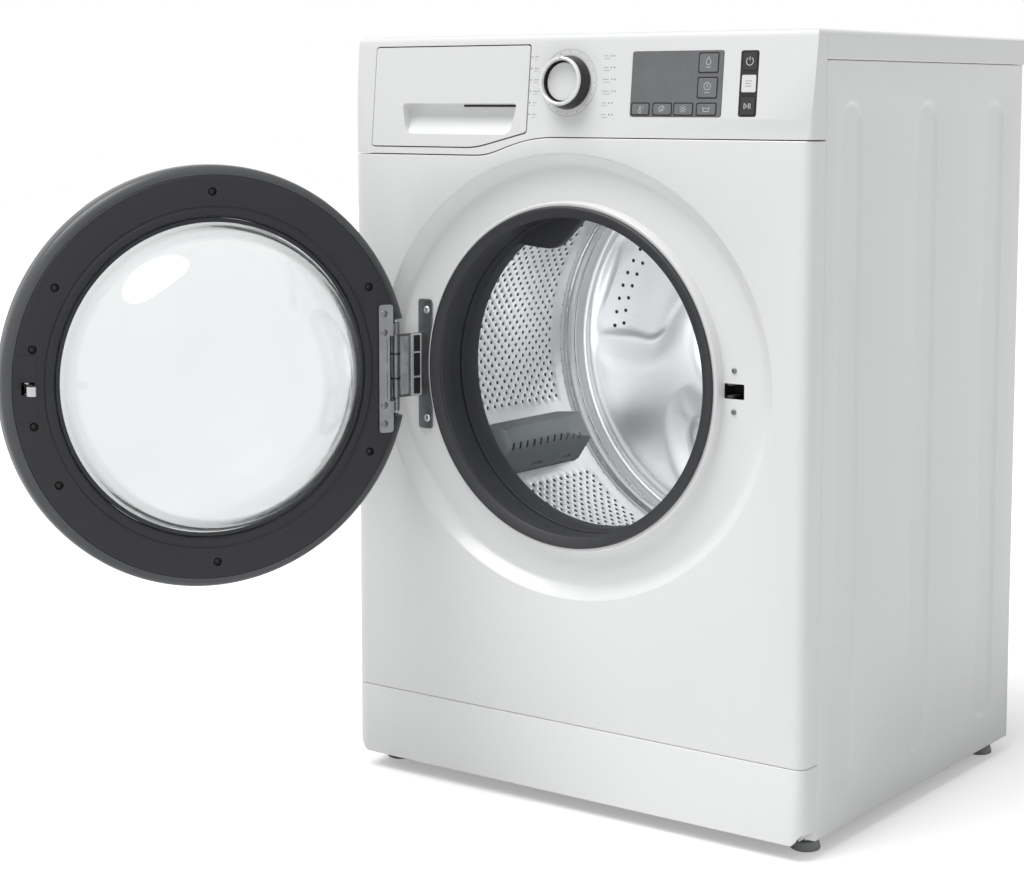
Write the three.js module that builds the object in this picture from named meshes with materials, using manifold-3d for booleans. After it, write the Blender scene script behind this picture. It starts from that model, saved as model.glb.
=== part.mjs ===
// A front-load washing machine with its round door open, as a tree of named meshes.
// Millimetres. X points to the machine's right, Y to its back and Z up from the floor.
import * as THREE from "three";
import { mergeVertices } from "three/addons/utils/BufferGeometryUtils.js";
import Module from "manifold-3d";

const wasm = await Module();
wasm.setup();

// ---- Driving dimensions ------------------------------------------------------------------
const WIDTH = 595;
const HEIGHT = 850;
const FRONT = -252; // the plane of the front panel
const BACK = 252; // the rear edge of the side panels
const SEAM = FRONT + 30; // where the front pieces meet the side panels
const CORNER = 22; // radius of the upright front corners
const SHEET = 1.5; // cabinet steel
const WALL = 2.5; // moulded plastic
const GAP = 0.4; // left between neighbours that touch
const LID_BOTTOM = 819.5;
const LID_OVERHANG = 25; // behind the side panels
const PANEL_BOTTOM = 17;
const KICK_TOP = 98;
const WAIST = 739.5; // lower edge of the fascia, right of the drawer
const WAIST_LEFT = 719; // and under the drawer
const LEAN = THREE.MathUtils.degToRad(5.5); // of the fascia, backwards
const HALF = WIDTH / 2;

// The porthole, the drum and the door when closed share this axis, along Y.
const AXIS_Z = 480;
const RECESS = { wide: 256, narrow: 238, squash: 0.945, depth: 15 };
const RECESS_FLOOR = FRONT + RECESS.depth;
const COLLAR = 189; // hole in the recess floor
const TUB = { inner: 250, outer: 254, flange: 257, front: -190, joint: -40, back: 156 };
const DRUM = { radius: 237, mouth: 174, front: -180, back: 131 };
const ROUND = 32; // sides of everything large that shares the porthole axis
const SHAFT = 12.5;
const PULLEY = { radius: 140, front: 192, back: 204 };
const MOTOR = { x: 95, z: 150, radius: 62, front: 20, back: 170, pulley: 12 };
const LIFTER_ANGLES = [90, 210, 330];
const LIFTER = { front: -158, knee: -31, back: 40, half: 33, ridge: 12 };
const PAD_ANGLES = [35, 155, 275]; // of the raised pads on the drum's back

// The door, measured in front of its inner face.
const DOOR = { radius: 230, face: 219, window: 173.5, depth: 50, innerY: FRONT - 4 };
const HINGE = { x: -218, y: -275, pin: 2.5, barrel: 5, arm: 36, reach: 50 };
const DOOR_OPEN = THREE.MathUtils.degToRad(118);
const LATCH_X = 203;
const LOCK_SLOT = { width: 24, height: 16 };

// The detergent drawer, by its heights above the floor.
const DRAWER = { left: -270, right: -53.5, bottom: 727, top: 838, thick: 16 };
const TRAY = { left: -258, right: -66, bottom: 742, top: 800, back: 30 };

// Controls on the leaning fascia, by their heights z above its lower left edge.
const KNOB = { x: -1, z: 78.7, radius: 29, rim: 26.4, bore: 22, height: 17, sink: 7 };
const DISPLAY = { left: 79.5, right: 190, bottom: 43, top: 110.5 };
const STRIP = { left: 210, right: 231.3, bottom: 43, top: 110.5 };
const OPTION_KEYS = [
  [81.5, 103, 44.7, 56.7],
  [108, 130.4, 44.7, 56.7],
  [133.6, 156.2, 44.7, 56.7],
  [161.2, 184, 44.7, 56.7],
  [161.2, 184, 62.3, 83],
  [161.2, 184, 88.4, 108],
];
const STRIP_KEYS = {
  start_button: [212, 229.4, 44.7, 63.5],
  option_button: [212, 229.4, 67.6, 86],
  power_button: [212, 229.4, 90, 108.6],
};
const CABLE_GLAND_Z = 770;
const DRAIN_OUTLET_Z = 110;
const FEET = { inset: 24, front: FRONT + 51.5, back: BACK - 28, radius: 16, pad: 10 };

// ---- Materials ---------------------------------------------------------------------------
const paint = (color, roughness, metalness = 0) =>
  new THREE.MeshStandardMaterial({ color, roughness, metalness });
const white = paint(0xeeeeec, 0.35);
const whitePlastic = paint(0xe9e9e7, 0.4);
const darkPlastic = paint(0x3a3b40, 0.45);
const blackPlastic = paint(0x1d1d1f, 0.4);
const windowPlastic = paint(0x55575a, 0.2);
const greyPlastic = paint(0x6f7678, 0.6);
const tubPlastic = paint(0xc9cbc8, 0.6);
const rubber = paint(0x45474b, 0.7);
const steel = paint(0xb9bcbe, 0.3, 1);
const darkSteel = paint(0x7c7f82, 0.4, 1);
const aluminium = paint(0xa8abad, 0.5, 1);
const copper = paint(0xa06a42, 0.4, 1);
const concrete = paint(0x9d9b95, 0.95);
const circuit = paint(0x2d5a3a, 0.6);
const glass = new THREE.MeshStandardMaterial({
  color: 0xcfd8d8, roughness: 0.05, transparent: true, opacity: 0.4,
});

// ---- Solids ------------------------------------------------------------------------------
// A closed three.js geometry as a manifold-3d solid, turned right side out.
function solid(geometry) {
  const bare = geometry.clone();
  bare.deleteAttribute("normal");
  bare.deleteAttribute("uv");
  const merged = mergeVertices(bare, 1e-3);
  const points = merged.attributes.position.array;
  const corners = [];
  let volume = 0;
  const a = new THREE.Vector3();
  const b = new THREE.Vector3();
  const c = new THREE.Vector3();
  for (let i = 0; i < merged.index.count; i += 3) {
    const [p, q, r] = [0, 1, 2].map((k) => merged.index.array[i + k]);
    if (p === q || q === r || r === p) continue;
    corners.push([p, q, r]);
    a.fromArray(points, 3 * p);
    b.fromArray(points, 3 * q);
    c.fromArray(points, 3 * r);
    volume += a.dot(b.cross(c));
  }
  if (volume < 0) corners.forEach((triangle) => triangle.reverse());
  return new wasm.Manifold(
    new wasm.Mesh({
      numProp: 3,
      vertProperties: Float32Array.from(points),
      triVerts: Uint32Array.from(corners.flat()),
    }),
  );
}

const join = (...solids) => solids.reduce((whole, one) => whole.add(one));

function box(x0, x1, y0, y1, z0, z1) {
  const block = new THREE.BoxGeometry(x1 - x0, y1 - y0, z1 - z0);
  return solid(block.translate((x0 + x1) / 2, (y0 + y1) / 2, (z0 + z1) / 2));
}

// A round bar between two points.
function bar(radius, from, to, sides = 12, endRadius = radius) {
  const start = new THREE.Vector3(...from);
  const run = new THREE.Vector3(...to).sub(start);
  const length = run.length();
  const rod = new THREE.CylinderGeometry(endRadius, radius, length, sides);
  rod.translate(0, length / 2, 0);
  const up = new THREE.Vector3(0, 1, 0);
  rod.applyQuaternion(new THREE.Quaternion().setFromUnitVectors(up, run.normalize()));
  return solid(rod.translate(...from));
}

// A closed [radius, y] outline turned about an axis along Y.
function turned(outline, sides = ROUND, x = 0, z = AXIS_Z) {
  const points = [...outline, outline[0]].map(([r, y]) => new THREE.Vector2(r, y));
  return solid(new THREE.LatheGeometry(points, sides).translate(x, 0, z));
}

const disc = (radius, y0, y1, sides = ROUND, x = 0, z = AXIS_Z) =>
  turned([[0, y0], [radius, y0], [radius, y1], [0, y1]], sides, x, z);

// A polygon whose corners [x, y, radius] may be rounded.
function outline(corners) {
  const shape = new THREE.Shape();
  const along = (corner, other, r) =>
    new THREE.Vector2(other[0] - corner[0], other[1] - corner[1])
      .setLength(r)
      .add(new THREE.Vector2(corner[0], corner[1]));
  corners.forEach((corner, i) => {
    const [x, y, r = 0] = corner;
    const before = along(corner, corners.at(i - 1), r);
    const after = along(corner, corners[(i + 1) % corners.length], r);
    if (i === 0) shape.moveTo(before.x, before.y);
    else shape.lineTo(before.x, before.y);
    if (r > 0) shape.quadraticCurveTo(x, y, after.x, after.y);
  });
  shape.closePath();
  return shape;
}

const rectangle = (x0, x1, y0, y1, r = 0) =>
  outline([[x0, y0, r], [x1, y0, r], [x1, y1, r], [x0, y1, r]]);

const extruded = (shape, depth) =>
  new THREE.ExtrudeGeometry(shape, { depth, bevelEnabled: false, curveSegments: 3 });

// A shape drawn in plan (x, y), in front view (x, z) or in side view (y, z), made thick.
const plan = (shape, z0, z1) => solid(extruded(shape, z1 - z0).translate(0, 0, z0));
const front = (shape, y0, y1) =>
  solid(extruded(shape, y1 - y0).rotateX(Math.PI / 2).translate(0, y1, 0));
const side = (shape, x0, x1) =>
  solid(extruded(shape, x1 - x0).rotateX(Math.PI / 2).rotateZ(Math.PI / 2).translate(x0, 0, 0));

function geometryOf(body) {
  const { vertProperties, triVerts } = body.getMesh();
  const geometry = new THREE.BufferGeometry();
  geometry.setAttribute("position", new THREE.BufferAttribute(vertProperties, 3));
  geometry.setIndex(new THREE.BufferAttribute(triVerts, 1));
  geometry.computeVertexNormals();
  return geometry;
}

const placed = (body, matrix) => solid(geometryOf(body).applyMatrix4(matrix));
const shift = (x, y, z) => new THREE.Matrix4().makeTranslation(x, y, z);
const moved = (body, x, y, z) => placed(body, shift(x, y, z));

// A solid turned about the porthole axis, from +X towards +Z.
function rolled(body, degrees) {
  const turn = new THREE.Matrix4().makeRotationY(-THREE.MathUtils.degToRad(degrees));
  return placed(body, shift(0, 0, AXIS_Z).multiply(turn).multiply(shift(0, 0, -AXIS_Z)));
}

function add(parent, name, body, material) {
  const mesh = new THREE.Mesh(geometryOf(body), material);
  mesh.name = name;
  parent.add(mesh);
}

// ---- Groups ------------------------------------------------------------------------------
const machine = new THREE.Group();

// The fascia's own frame: x right, y into the machine, z up the leaning face.
const fascia = new THREE.Group();
fascia.position.set(0, FRONT, WAIST_LEFT);
fascia.rotation.x = -LEAN;
machine.add(fascia);
fascia.updateMatrix();
const onFascia = (body) => placed(body, fascia.matrix);
const fasciaY = (z, depth = 0) =>
  FRONT + (z - WAIST_LEFT) * Math.tan(LEAN) + depth / Math.cos(LEAN);

// The door's frame turns about the hinge pin; its children are drawn with the door closed.
const door = new THREE.Group();
door.position.set(HINGE.x, HINGE.y, 0);
door.rotation.z = -DOOR_OPEN;
machine.add(door);
const closedDoor = new THREE.Group();
closedDoor.position.set(-HINGE.x, -HINGE.y, 0);
door.add(closedDoor);

// ---- Cabinet -----------------------------------------------------------------------------
// The plan of a front piece that wraps both upright corners, inset from the outside.
const wrap = (inset, back = SEAM) =>
  outline([
    [-HALF + inset, back],
    [-HALF + inset, FRONT + inset, CORNER - inset],
    [HALF - inset, FRONT + inset, CORNER - inset],
    [HALF - inset, back],
  ]);

// Everything above the stepped line between the front panel and the fascia, or below it.
function aboveWaist(offset, top) {
  const shape = new THREE.Shape();
  shape.moveTo(-HALF - 1, WAIST_LEFT + offset);
  shape.lineTo(-122, WAIST_LEFT + offset);
  shape.bezierCurveTo(-88, WAIST_LEFT + offset, -75, WAIST + offset - 1, -15, WAIST + offset);
  shape.lineTo(HALF + 1, WAIST + offset);
  shape.lineTo(HALF + 1, top);
  shape.lineTo(-HALF - 1, top);
  shape.closePath();
  return front(shape, FRONT - 1, SEAM + 1);
}

function worktop() {
  const back = BACK + LID_OVERHANG;
  const above = plan(
    outline([[-HALF, SEAM + GAP], [HALF, SEAM + GAP], [HALF, back, 14], [-HALF, back, 14]]),
    LID_BOTTOM, HEIGHT,
  );
  const across = outline([
    [-HALF, LID_BOTTOM], [HALF, LID_BOTTOM], [HALF, HEIGHT, 8], [-HALF, HEIGHT, 8],
  ]);
  const along = outline([
    [SEAM, LID_BOTTOM], [back, LID_BOTTOM], [back, HEIGHT, 8], [SEAM, HEIGHT],
  ]);
  return above.intersect(front(across, SEAM, back)).intersect(side(along, -HALF, HALF));
}

function controlFascia() {
  const profile = (inset, back) =>
    outline([
      [fasciaY(WAIST_LEFT, inset), WAIST_LEFT],
      [fasciaY(HEIGHT - inset, inset), HEIGHT - inset, 12],
      [back, HEIGHT - inset],
      [back, WAIST_LEFT],
    ]);
  const ends = outline([
    [-HALF, WAIST_LEFT], [HALF, WAIST_LEFT], [HALF, HEIGHT, 8], [-HALF, HEIGHT, 8],
  ]);
  const skin = side(profile(0, SEAM), -HALF, HALF)
    .intersect(plan(wrap(0), WAIST_LEFT, HEIGHT))
    .intersect(front(ends, FRONT, SEAM));
  const hollow = side(profile(WALL, SEAM + 1), -HALF + WALL, HALF - WALL)
    .intersect(plan(wrap(WALL, SEAM + 1), WAIST_LEFT - 1, HEIGHT));
  const below = moved(hollow, 0, 0, -WALL);
  const keyHole = ([x0, x1, z0, z1]) => front(rectangle(x0, x1, z0, z1, 2), -5, 10);
  const holes = [
    front(rectangle(DISPLAY.left - GAP, DISPLAY.right + GAP, DISPLAY.bottom - GAP,
      DISPLAY.top + GAP, 3), -5, 10),
    disc(5.5, -5, 10, 24, KNOB.x, KNOB.z),
    ...Object.values(STRIP_KEYS).map(keyHole),
    front(rectangle(STRIP.left, STRIP.right, STRIP.bottom, STRIP.top, 3), -5, 0.9),
  ];
  return skin
    .subtract(hollow)
    .subtract(below)
    .intersect(aboveWaist(0, HEIGHT))
    .subtract(drawerOutline(GAP, FRONT - 1, SEAM + 1))
    .subtract(onFascia(join(...holes)));
}

function recessDish() {
  const { wide, narrow, squash } = RECESS;
  const scaled = (points) => {
    const shape = [...points, points[0]].map(([r, y]) => new THREE.Vector2(r, y));
    const lathe = new THREE.LatheGeometry(shape, ROUND).scale(1, 1, squash);
    return solid(lathe.translate(0, 0, AXIS_Z));
  };
  const bowl = scaled([
    [wide, FRONT], [narrow + 2, RECESS_FLOOR - 2], [narrow - 4, RECESS_FLOOR],
    [0, RECESS_FLOOR], [0, RECESS_FLOOR + SHEET], [narrow - 3, RECESS_FLOOR + SHEET],
    [narrow + 3, RECESS_FLOOR - 1], [wide + 1.2, FRONT + SHEET],
  ]);
  const opening = scaled([
    [0, FRONT - 1], [wide, FRONT - 1], [wide, FRONT + SHEET + 0.1], [0, FRONT + SHEET + 0.1],
  ]);
  return { bowl, opening };
}

function frontPanel() {
  const { bowl, opening } = recessDish();
  const bottom = KICK_TOP + GAP;
  const skin = plan(wrap(0), bottom, WAIST).subtract(plan(wrap(SHEET, SEAM + 1), 0, HEIGHT));
  const flange = (s) =>
    box(s > 0 ? HALF - 14 : -HALF + 0.5, s > 0 ? HALF - 0.5 : -HALF + 14,
      SEAM - SHEET, SEAM, bottom, WAIST);
  const collar = turned([
    [COLLAR, RECESS_FLOOR + SHEET], [COLLAR, FRONT + 3.5], [184.5, FRONT + 3.5],
    [184.5, FRONT + 2], [COLLAR + SHEET, FRONT + 2], [COLLAR + SHEET, RECESS_FLOOR + SHEET],
  ]);
  const half = LOCK_SLOT.width / 2;
  const tall = LOCK_SLOT.height / 2;
  const slot = box(LATCH_X - half, LATCH_X + half, RECESS_FLOOR - 5, RECESS_FLOOR + 5,
    AXIS_Z - tall, AXIS_Z + tall);
  const screwHole = (s) =>
    disc(2.6, RECESS_FLOOR - 5, RECESS_FLOOR + 5, 12, LATCH_X, AXIS_Z + s * 21.5);
  return join(skin.subtract(opening), flange(1), flange(-1))
    .subtract(aboveWaist(-GAP, HEIGHT))
    .add(bowl)
    .subtract(disc(COLLAR, FRONT - 5, RECESS_FLOOR + 5))
    .add(collar)
    .subtract(join(slot, screwHole(1), screwHole(-1)));
}

function kickPlate() {
  const skin = plan(wrap(0), PANEL_BOTTOM, KICK_TOP)
    .subtract(plan(wrap(2, SEAM + 1), 0, HEIGHT));
  const toes = outline([
    [-HALF, KICK_TOP], [-HALF, PANEL_BOTTOM + 12, 8], [-HALF + 10, PANEL_BOTTOM],
    [HALF - 10, PANEL_BOTTOM], [HALF, PANEL_BOTTOM + 12, 8], [HALF, KICK_TOP],
  ]);
  const flange = (s) =>
    box(s > 0 ? HALF - 14 : -HALF + 1, s > 0 ? HALF - 1 : -HALF + 14,
      SEAM - 2, SEAM, PANEL_BOTTOM + 20, KICK_TOP);
  return join(skin, flange(1), flange(-1)).intersect(front(toes, FRONT, SEAM));
}

function sidePanel(s) {
  const span = (near, far) => (s > 0 ? [HALF - far, HALF - near] : [-HALF + near, -HALF + far]);
  const y0 = SEAM + GAP;
  const top = LID_BOTTOM - GAP;
  const sheet = box(...span(0, SHEET), y0, BACK, PANEL_BOTTOM, top);
  const flanges = [
    box(...span(0, 14), y0, y0 + SHEET, PANEL_BOTTOM + 20, top),
    box(...span(0, 20), BACK - SHEET, BACK, PANEL_BOTTOM, top),
    box(...span(0, 13), y0, BACK, PANEL_BOTTOM, PANEL_BOTTOM + SHEET),
    box(...span(0, 20), y0, BACK, top - SHEET, top),
    box(...span(0, 38), 71, 79, 797, top),
  ];
  const groove = (y, inset) =>
    outline([
      [y - 25 + inset, 56 + inset, 25 - inset], [y + 25 - inset, 56 + inset, 25 - inset],
      [y + 25 - inset, 779 - inset, 25 - inset], [y - 25 + inset, 779 - inset, 25 - inset],
    ]);
  const centres = [-167, 7, 179];
  const ribs = centres.map((y) => side(groove(y, 0), ...span(0, 4.5)));
  const cuts = centres.map((y) => side(groove(y, SHEET), ...span(-1, 3)));
  return join(sheet, ...flanges, ...ribs).subtract(join(...cuts));
}

function rearPanel() {
  const y0 = BACK + GAP;
  const sheet = front(rectangle(-HALF + 6, HALF - 6, 30, 815, 8), y0, y0 + SHEET);
  const bulge = turned([
    [185, y0], [170, y0 + 12], [0, y0 + 12], [0, y0 + 12 - SHEET], [169, y0 + 12 - SHEET],
    [183, y0 - 0.01], [183.5, y0 - 0.01],
  ]);
  const collar = (z) => disc(16, y0, y0 + 7, 16, -225, z);
  const bore = (z) => disc(11, y0 - 5, y0 + 9, 16, -225, z);
  return sheet
    .subtract(disc(183.4, y0 - 1, y0 + 3))
    .add(join(bulge, collar(CABLE_GLAND_Z), collar(DRAIN_OUTLET_Z)))
    .subtract(join(
      disc(17, y0 - 5, y0 + 5, 20, 225, 770),
      bore(CABLE_GLAND_Z),
      bore(DRAIN_OUTLET_Z),
    ));
}

function baseFrame() {
  const inside = { x: HALF - 4, y0: SEAM + 4, y1: BACK - 4 };
  const floor = PANEL_BOTTOM + SHEET + GAP;
  const tray = box(-inside.x, inside.x, inside.y0, inside.y1, floor, 46)
    .subtract(box(-inside.x + 3, inside.x - 3, inside.y0 + 3, inside.y1 - 3, floor + 3, 50))
    .subtract(front(rectangle(-170, 120, 0, 40), -140, 180).intersect(
      box(-170, 120, -140, 180, 0, floor + 4)));
  const stems = footCentres().map(([, x, y]) => bar(5.2, [x, y, 0], [x, y, 60], 20));
  return tray.subtract(join(...stems));
}

function footCentres() {
  const x = HALF - FEET.inset;
  return [
    ["foot_front_left", -x, FEET.front],
    ["foot_front_right", x, FEET.front],
    ["foot_rear_left", -x, FEET.back],
    ["foot_rear_right", x, FEET.back],
  ];
}

function foot(x, y) {
  const { radius, pad } = FEET;
  return join(
    bar(radius, [x, y, 0], [x, y, pad], 20, radius - 1.5),
    bar(9, [x, y, pad + 1], [x, y, pad + 6], 6),
    bar(4.7, [x, y, pad - 1], [x, y, 44], 10),
  );
}

// ---- Detergent drawer --------------------------------------------------------------------
function drawerOutline(margin, y0, y1) {
  const { left, right, bottom, top } = DRAWER;
  const shape = outline([
    [left - margin, bottom - margin, 4],
    [-122 + margin / 2, bottom - margin, 12],
    [right + margin, bottom + 17 - margin, 4],
    [right + margin, top + margin, 4],
    [left - margin, top + margin, 4],
  ]);
  return front(shape, y0, y1);
}

function drawerFront() {
  const { thick } = DRAWER;
  const slab = side(outline([
    [fasciaY(700, -0.5), 700], [fasciaY(860, -0.5), 860],
    [fasciaY(860, thick), 860], [fasciaY(700, thick), 700],
  ]), -HALF, HALF);
  const mouth = outline([[-221, 741, 10], [-75, 741, 10], [-68, 775, 4], [-228, 775, 4]]);
  const scoop = side(outline([
    [fasciaY(738, -4), 738], [fasciaY(776, -4), 776], [fasciaY(776, 13), 776],
    [fasciaY(757, 12), 757, 8],
  ]), -HALF, 0);
  return drawerOutline(-GAP, FRONT - 5, SEAM + 20)
    .intersect(slab)
    .subtract(front(mouth, FRONT - 5, SEAM + 20).intersect(scoop));
}

const TRAY_WELLS = [[-255.5, -196], [-193.5, -130], [-127.5, -68.5]];

function drawerTray() {
  const { left, right, bottom, top, back } = TRAY;
  const lip = DRAWER.thick + GAP;
  const block = side(outline([
    [fasciaY(bottom, lip), bottom], [fasciaY(top, lip), top], [back, top], [back, bottom, 10],
  ]), left, right);
  const wells = TRAY_WELLS.map(([x0, x1]) =>
    box(x0, x1, fasciaY(top, lip + WALL), back - WALL, bottom + WALL, top + 1));
  return block.subtract(join(...wells));
}

function dispenserHousing() {
  const shell = box(-264, -60, -212, 45, 732, 815)
    .subtract(box(-261.5, -62.5, -213, 42.5, 734.5, 812.5));
  const spout = bar(20, [-200, 10, 663], [-200, 10, 733], 16);
  const bore = bar(16, [-200, 10, 640], [-200, 10, 740], 16);
  return join(shell, spout).subtract(bore);
}

// ---- Controls, in the fascia's frame -----------------------------------------------------
function key([x0, x1, z0, z1], proud) {
  const cap = front(rectangle(x0 + GAP, x1 - GAP, z0 + GAP, z1 - GAP, 2), -proud, 5);
  const mid = [(x0 + x1) / 2, (z0 + z1) / 2];
  return cap.add(box(mid[0] - 2, mid[0] + 2, 4, 17, mid[1] - 2, mid[1] + 2));
}

function displayWindow() {
  const { left, right, bottom, top } = DISPLAY;
  const pane = front(rectangle(left, right, bottom, top, 3), -0.4, 3);
  const holes = OPTION_KEYS.map(([x0, x1, z0, z1]) =>
    front(rectangle(x0, x1, z0, z1, 2), -2, 4));
  return pane.subtract(join(...holes));
}

// The black skirt with the recess that the white disc sits in.
function knobBody() {
  const { x, z, radius, rim, bore, height, sink } = KNOB;
  const face = sink - height;
  return turned([
    [0, face + 1], [bore - 1, face], [bore, face], [bore, 2 - height], [rim, 2 - height],
    [radius, -1], [radius - 3, -1], [radius - 4, face + 4], [8, face + 4], [8, -1],
    [3.5, -1], [3.5, 12], [0, 12],
  ], 28, x, z);
}

function knobRing() {
  const { x, z, rim, bore, height } = KNOB;
  const y = -height + 2 - GAP;
  return turned([
    [bore, y], [rim, y], [rim - 0.4, y - 2.5], [rim - 1.6, y - 3.6], [bore + 0.8, y - 3],
    [bore, y - 1],
  ], 28, x, z);
}

function controlBoard() {
  const encoder = disc(13, 13, 22.5, 24, KNOB.x, KNOB.z);
  const board = box(-30, 240, 22, 24, 40, 97);
  const capacitors = [60, 90, 120].map((x) => bar(7, [x, 23, 80], [x, 44, 80], 16));
  const relay = box(150, 190, 23, 42, 60, 95);
  return join(board, encoder, relay, ...capacitors);
}

// ---- Door, drawn closed ------------------------------------------------------------------
// A [radius, depth] outline, with depth measured outwards from the door's inner face.
const doorRing = (points) =>
  turned(points.map(([r, depth]) => [r, DOOR.innerY - depth]));

// Room for the fixed hinge arm to sweep through the edge of the door.
const hingePocket = () =>
  box(-240, -202, HINGE.y - 12, DOOR.innerY + 2, AXIS_Z - 55, AXIS_Z + 55);

const latchPocket = () =>
  box(LATCH_X - 8, LATCH_X + 8, DOOR.innerY - 13.8, DOOR.innerY + 2, AXIS_Z - 7, AXIS_Z + 7);

function doorInnerRing() {
  const { window, face } = DOOR;
  return doorRing([
    [window, 1.5], [window + 2, 0], [192, 0], [193, 0.8], [195, 0.8], [196, 0],
    [face - 1, 0], [face, 0.8], [face, 10], [window, 10],
  ]).subtract(join(hingePocket(), latchPocket()));
}

function doorOuterRing() {
  const { radius, face } = DOOR;
  return doorRing([
    [face + GAP, 1], [radius - 6, 2.4], [radius - 1.5, 6], [radius, 11], [radius, 26], [227.5, 34],
    [219, 40.5], [188.4, 45.5], [188.4, 41], [216, 36.5], [223, 31], [225.5, 25],
    [225.5, 14.5], [190, 14.5], [190, 10 + GAP], [face + GAP, 10 + GAP],
  ]).subtract(join(hingePocket(), latchPocket()));
}

function doorGlass() {
  return doorRing([
    [188.5, 10 + GAP], [188.5, 15], [166, 15], [163.5, 5], [160, -11], [144.5, -41.5],
    [122.5, -66], [96, -80.5], [80, -84], [0, -85],
    [0, -90], [82, -89], [99, -85], [126, -70], [149, -44], [165, -12],
    [168, 3], [170, 10 + GAP],
  ]);
}

function doorCover() {
  return doorRing([
    [0, DOOR.depth - 3.5], [120, DOOR.depth - 4.3], [170, DOOR.depth - 7],
    [188, DOOR.depth - 10], [188, DOOR.depth - 5.5], [168, DOOR.depth - 2.4],
    [120, DOOR.depth - 0.8], [0, DOOR.depth],
  ]);
}

// A bar of the given thickness from a point on the hinge line towards its plate.
function hingeArm(z0, z1, endY) {
  const start = new THREE.Vector2(HINGE.x, HINGE.y);
  const end = new THREE.Vector2(-206, endY);
  const across = end.clone().sub(start).rotateAround(new THREE.Vector2(), Math.PI / 2);
  across.setLength(1.5);
  const corner = (point, s) => [point.x + s * across.x, point.y + s * across.y];
  const strip = outline([corner(start, 1), corner(start, -1), corner(end, -1), corner(end, 1)]);
  const { x, y, barrel } = HINGE;
  return plan(strip, z0, z1).add(bar(barrel, [x, y, z0], [x, y, z1], 20));
}

const pinHole = () =>
  bar(HINGE.pin + GAP, [HINGE.x, HINGE.y, 300], [HINGE.x, HINGE.y, 700], 16);

function screwHeads(points, y, outwards, radius = 4) {
  return points.map(([x, z]) =>
    bar(radius, [x, y, z], [x, y + outwards * 1.8, z], 12, radius * 0.6));
}

function doorHingePlate() {
  const y = DOOR.innerY + GAP;
  const { arm, reach } = HINGE;
  const sheet = box(-207, -190, y, y + 2, AXIS_Z - 72, AXIS_Z + 72)
    .subtract(box(-208, -203, y - 1, y + 5, AXIS_Z - arm - 1, AXIS_Z + arm + 1));
  const knuckles = [-1, 1].map((s) => {
    const ends = [AXIS_Z + s * (arm + 0.6), AXIS_Z + s * reach].sort((a, b) => a - b);
    return hingeArm(...ends, y + 1);
  });
  const screws = [-62, -41, 41, 62].map((dz) => [-196, AXIS_Z + dz]);
  return join(sheet, ...knuckles, ...screwHeads(screws, y + 1.9, 1)).subtract(pinHole());
}

function hingePin() {
  const { x, y, pin, reach } = HINGE;
  return join(
    bar(pin, [x, y, AXIS_Z - reach - 1.4], [x, y, AXIS_Z + reach + 1.4], 16),
    bar(4, [x, y, AXIS_Z + reach + GAP], [x, y, AXIS_Z + reach + 2.4], 16),
    bar(4, [x, y, AXIS_Z - reach - 2.4], [x, y, AXIS_Z - reach - GAP], 16),
  );
}

function hingeBracket() {
  const y = RECESS_FLOOR - GAP;
  const { arm } = HINGE;
  const sheet = box(-213, -194, y - 2, y, AXIS_Z - 74, AXIS_Z + 74);
  const screws = [-62, 62].map((dz) => [-200.5, AXIS_Z + dz]);
  const strap = hingeArm(AXIS_Z - arm, AXIS_Z + arm, y - 1);
  return join(sheet, strap, ...screwHeads(screws, y - 1.9, -1)).subtract(pinHole());
}

function latchHook() {
  const y = DOOR.innerY - 6;
  const hook = outline([
    [LATCH_X - 2.5, y - 4], [LATCH_X + 2.5, y - 4], [LATCH_X + 2.5, y + 27],
    [LATCH_X + 6.5, y + 27.5], [LATCH_X + 3, y + 34, 1.5], [LATCH_X - 2.5, y + 34, 1.5],
  ]);
  return plan(hook, AXIS_Z - 5, AXIS_Z + 5)
    .add(bar(4, [LATCH_X, y, AXIS_Z - 6], [LATCH_X, y, AXIS_Z + 6], 16));
}

function doorLock() {
  const y0 = RECESS_FLOOR + SHEET + GAP;
  const half = LOCK_SLOT.width / 2 + GAP;
  const tall = LOCK_SLOT.height / 2 + GAP;
  const body = box(LATCH_X - 18, LATCH_X + 22, y0, y0 + 28, AXIS_Z - 27, AXIS_Z + 27)
    .subtract(box(LATCH_X - half, LATCH_X + half, y0 - 1, y0 + 22, AXIS_Z - tall, AXIS_Z + tall));
  const screws = [-21.5, 21.5].flatMap((dz) => [
    bar(2.2, [LATCH_X, RECESS_FLOOR - 1.5, AXIS_Z + dz], [LATCH_X, y0 + 1, AXIS_Z + dz], 12),
    ...screwHeads([[LATCH_X, AXIS_Z + dz]], RECESS_FLOOR - GAP, -1),
  ]);
  return join(body, ...screws);
}

// ---- Gasket, tub and drum ----------------------------------------------------------------
const SPOUT = { front: -199, back: -189, root: 174 };

// The spray spout that hangs from the gasket's lip, left of the top.
function spout() {
  const along = [93, 100, 107, 114, 121, 127].map((turn) => {
    const a = THREE.MathUtils.degToRad(turn);
    return [SPOUT.root * Math.cos(a), AXIS_Z + SPOUT.root * Math.sin(a)];
  });
  const tip = [[-78, AXIS_Z + 136], [-55, AXIS_Z + 134.5], [-43, AXIS_Z + 140.5]];
  return front(outline([...along, ...tip]), SPOUT.front, SPOUT.back);
}

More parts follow.
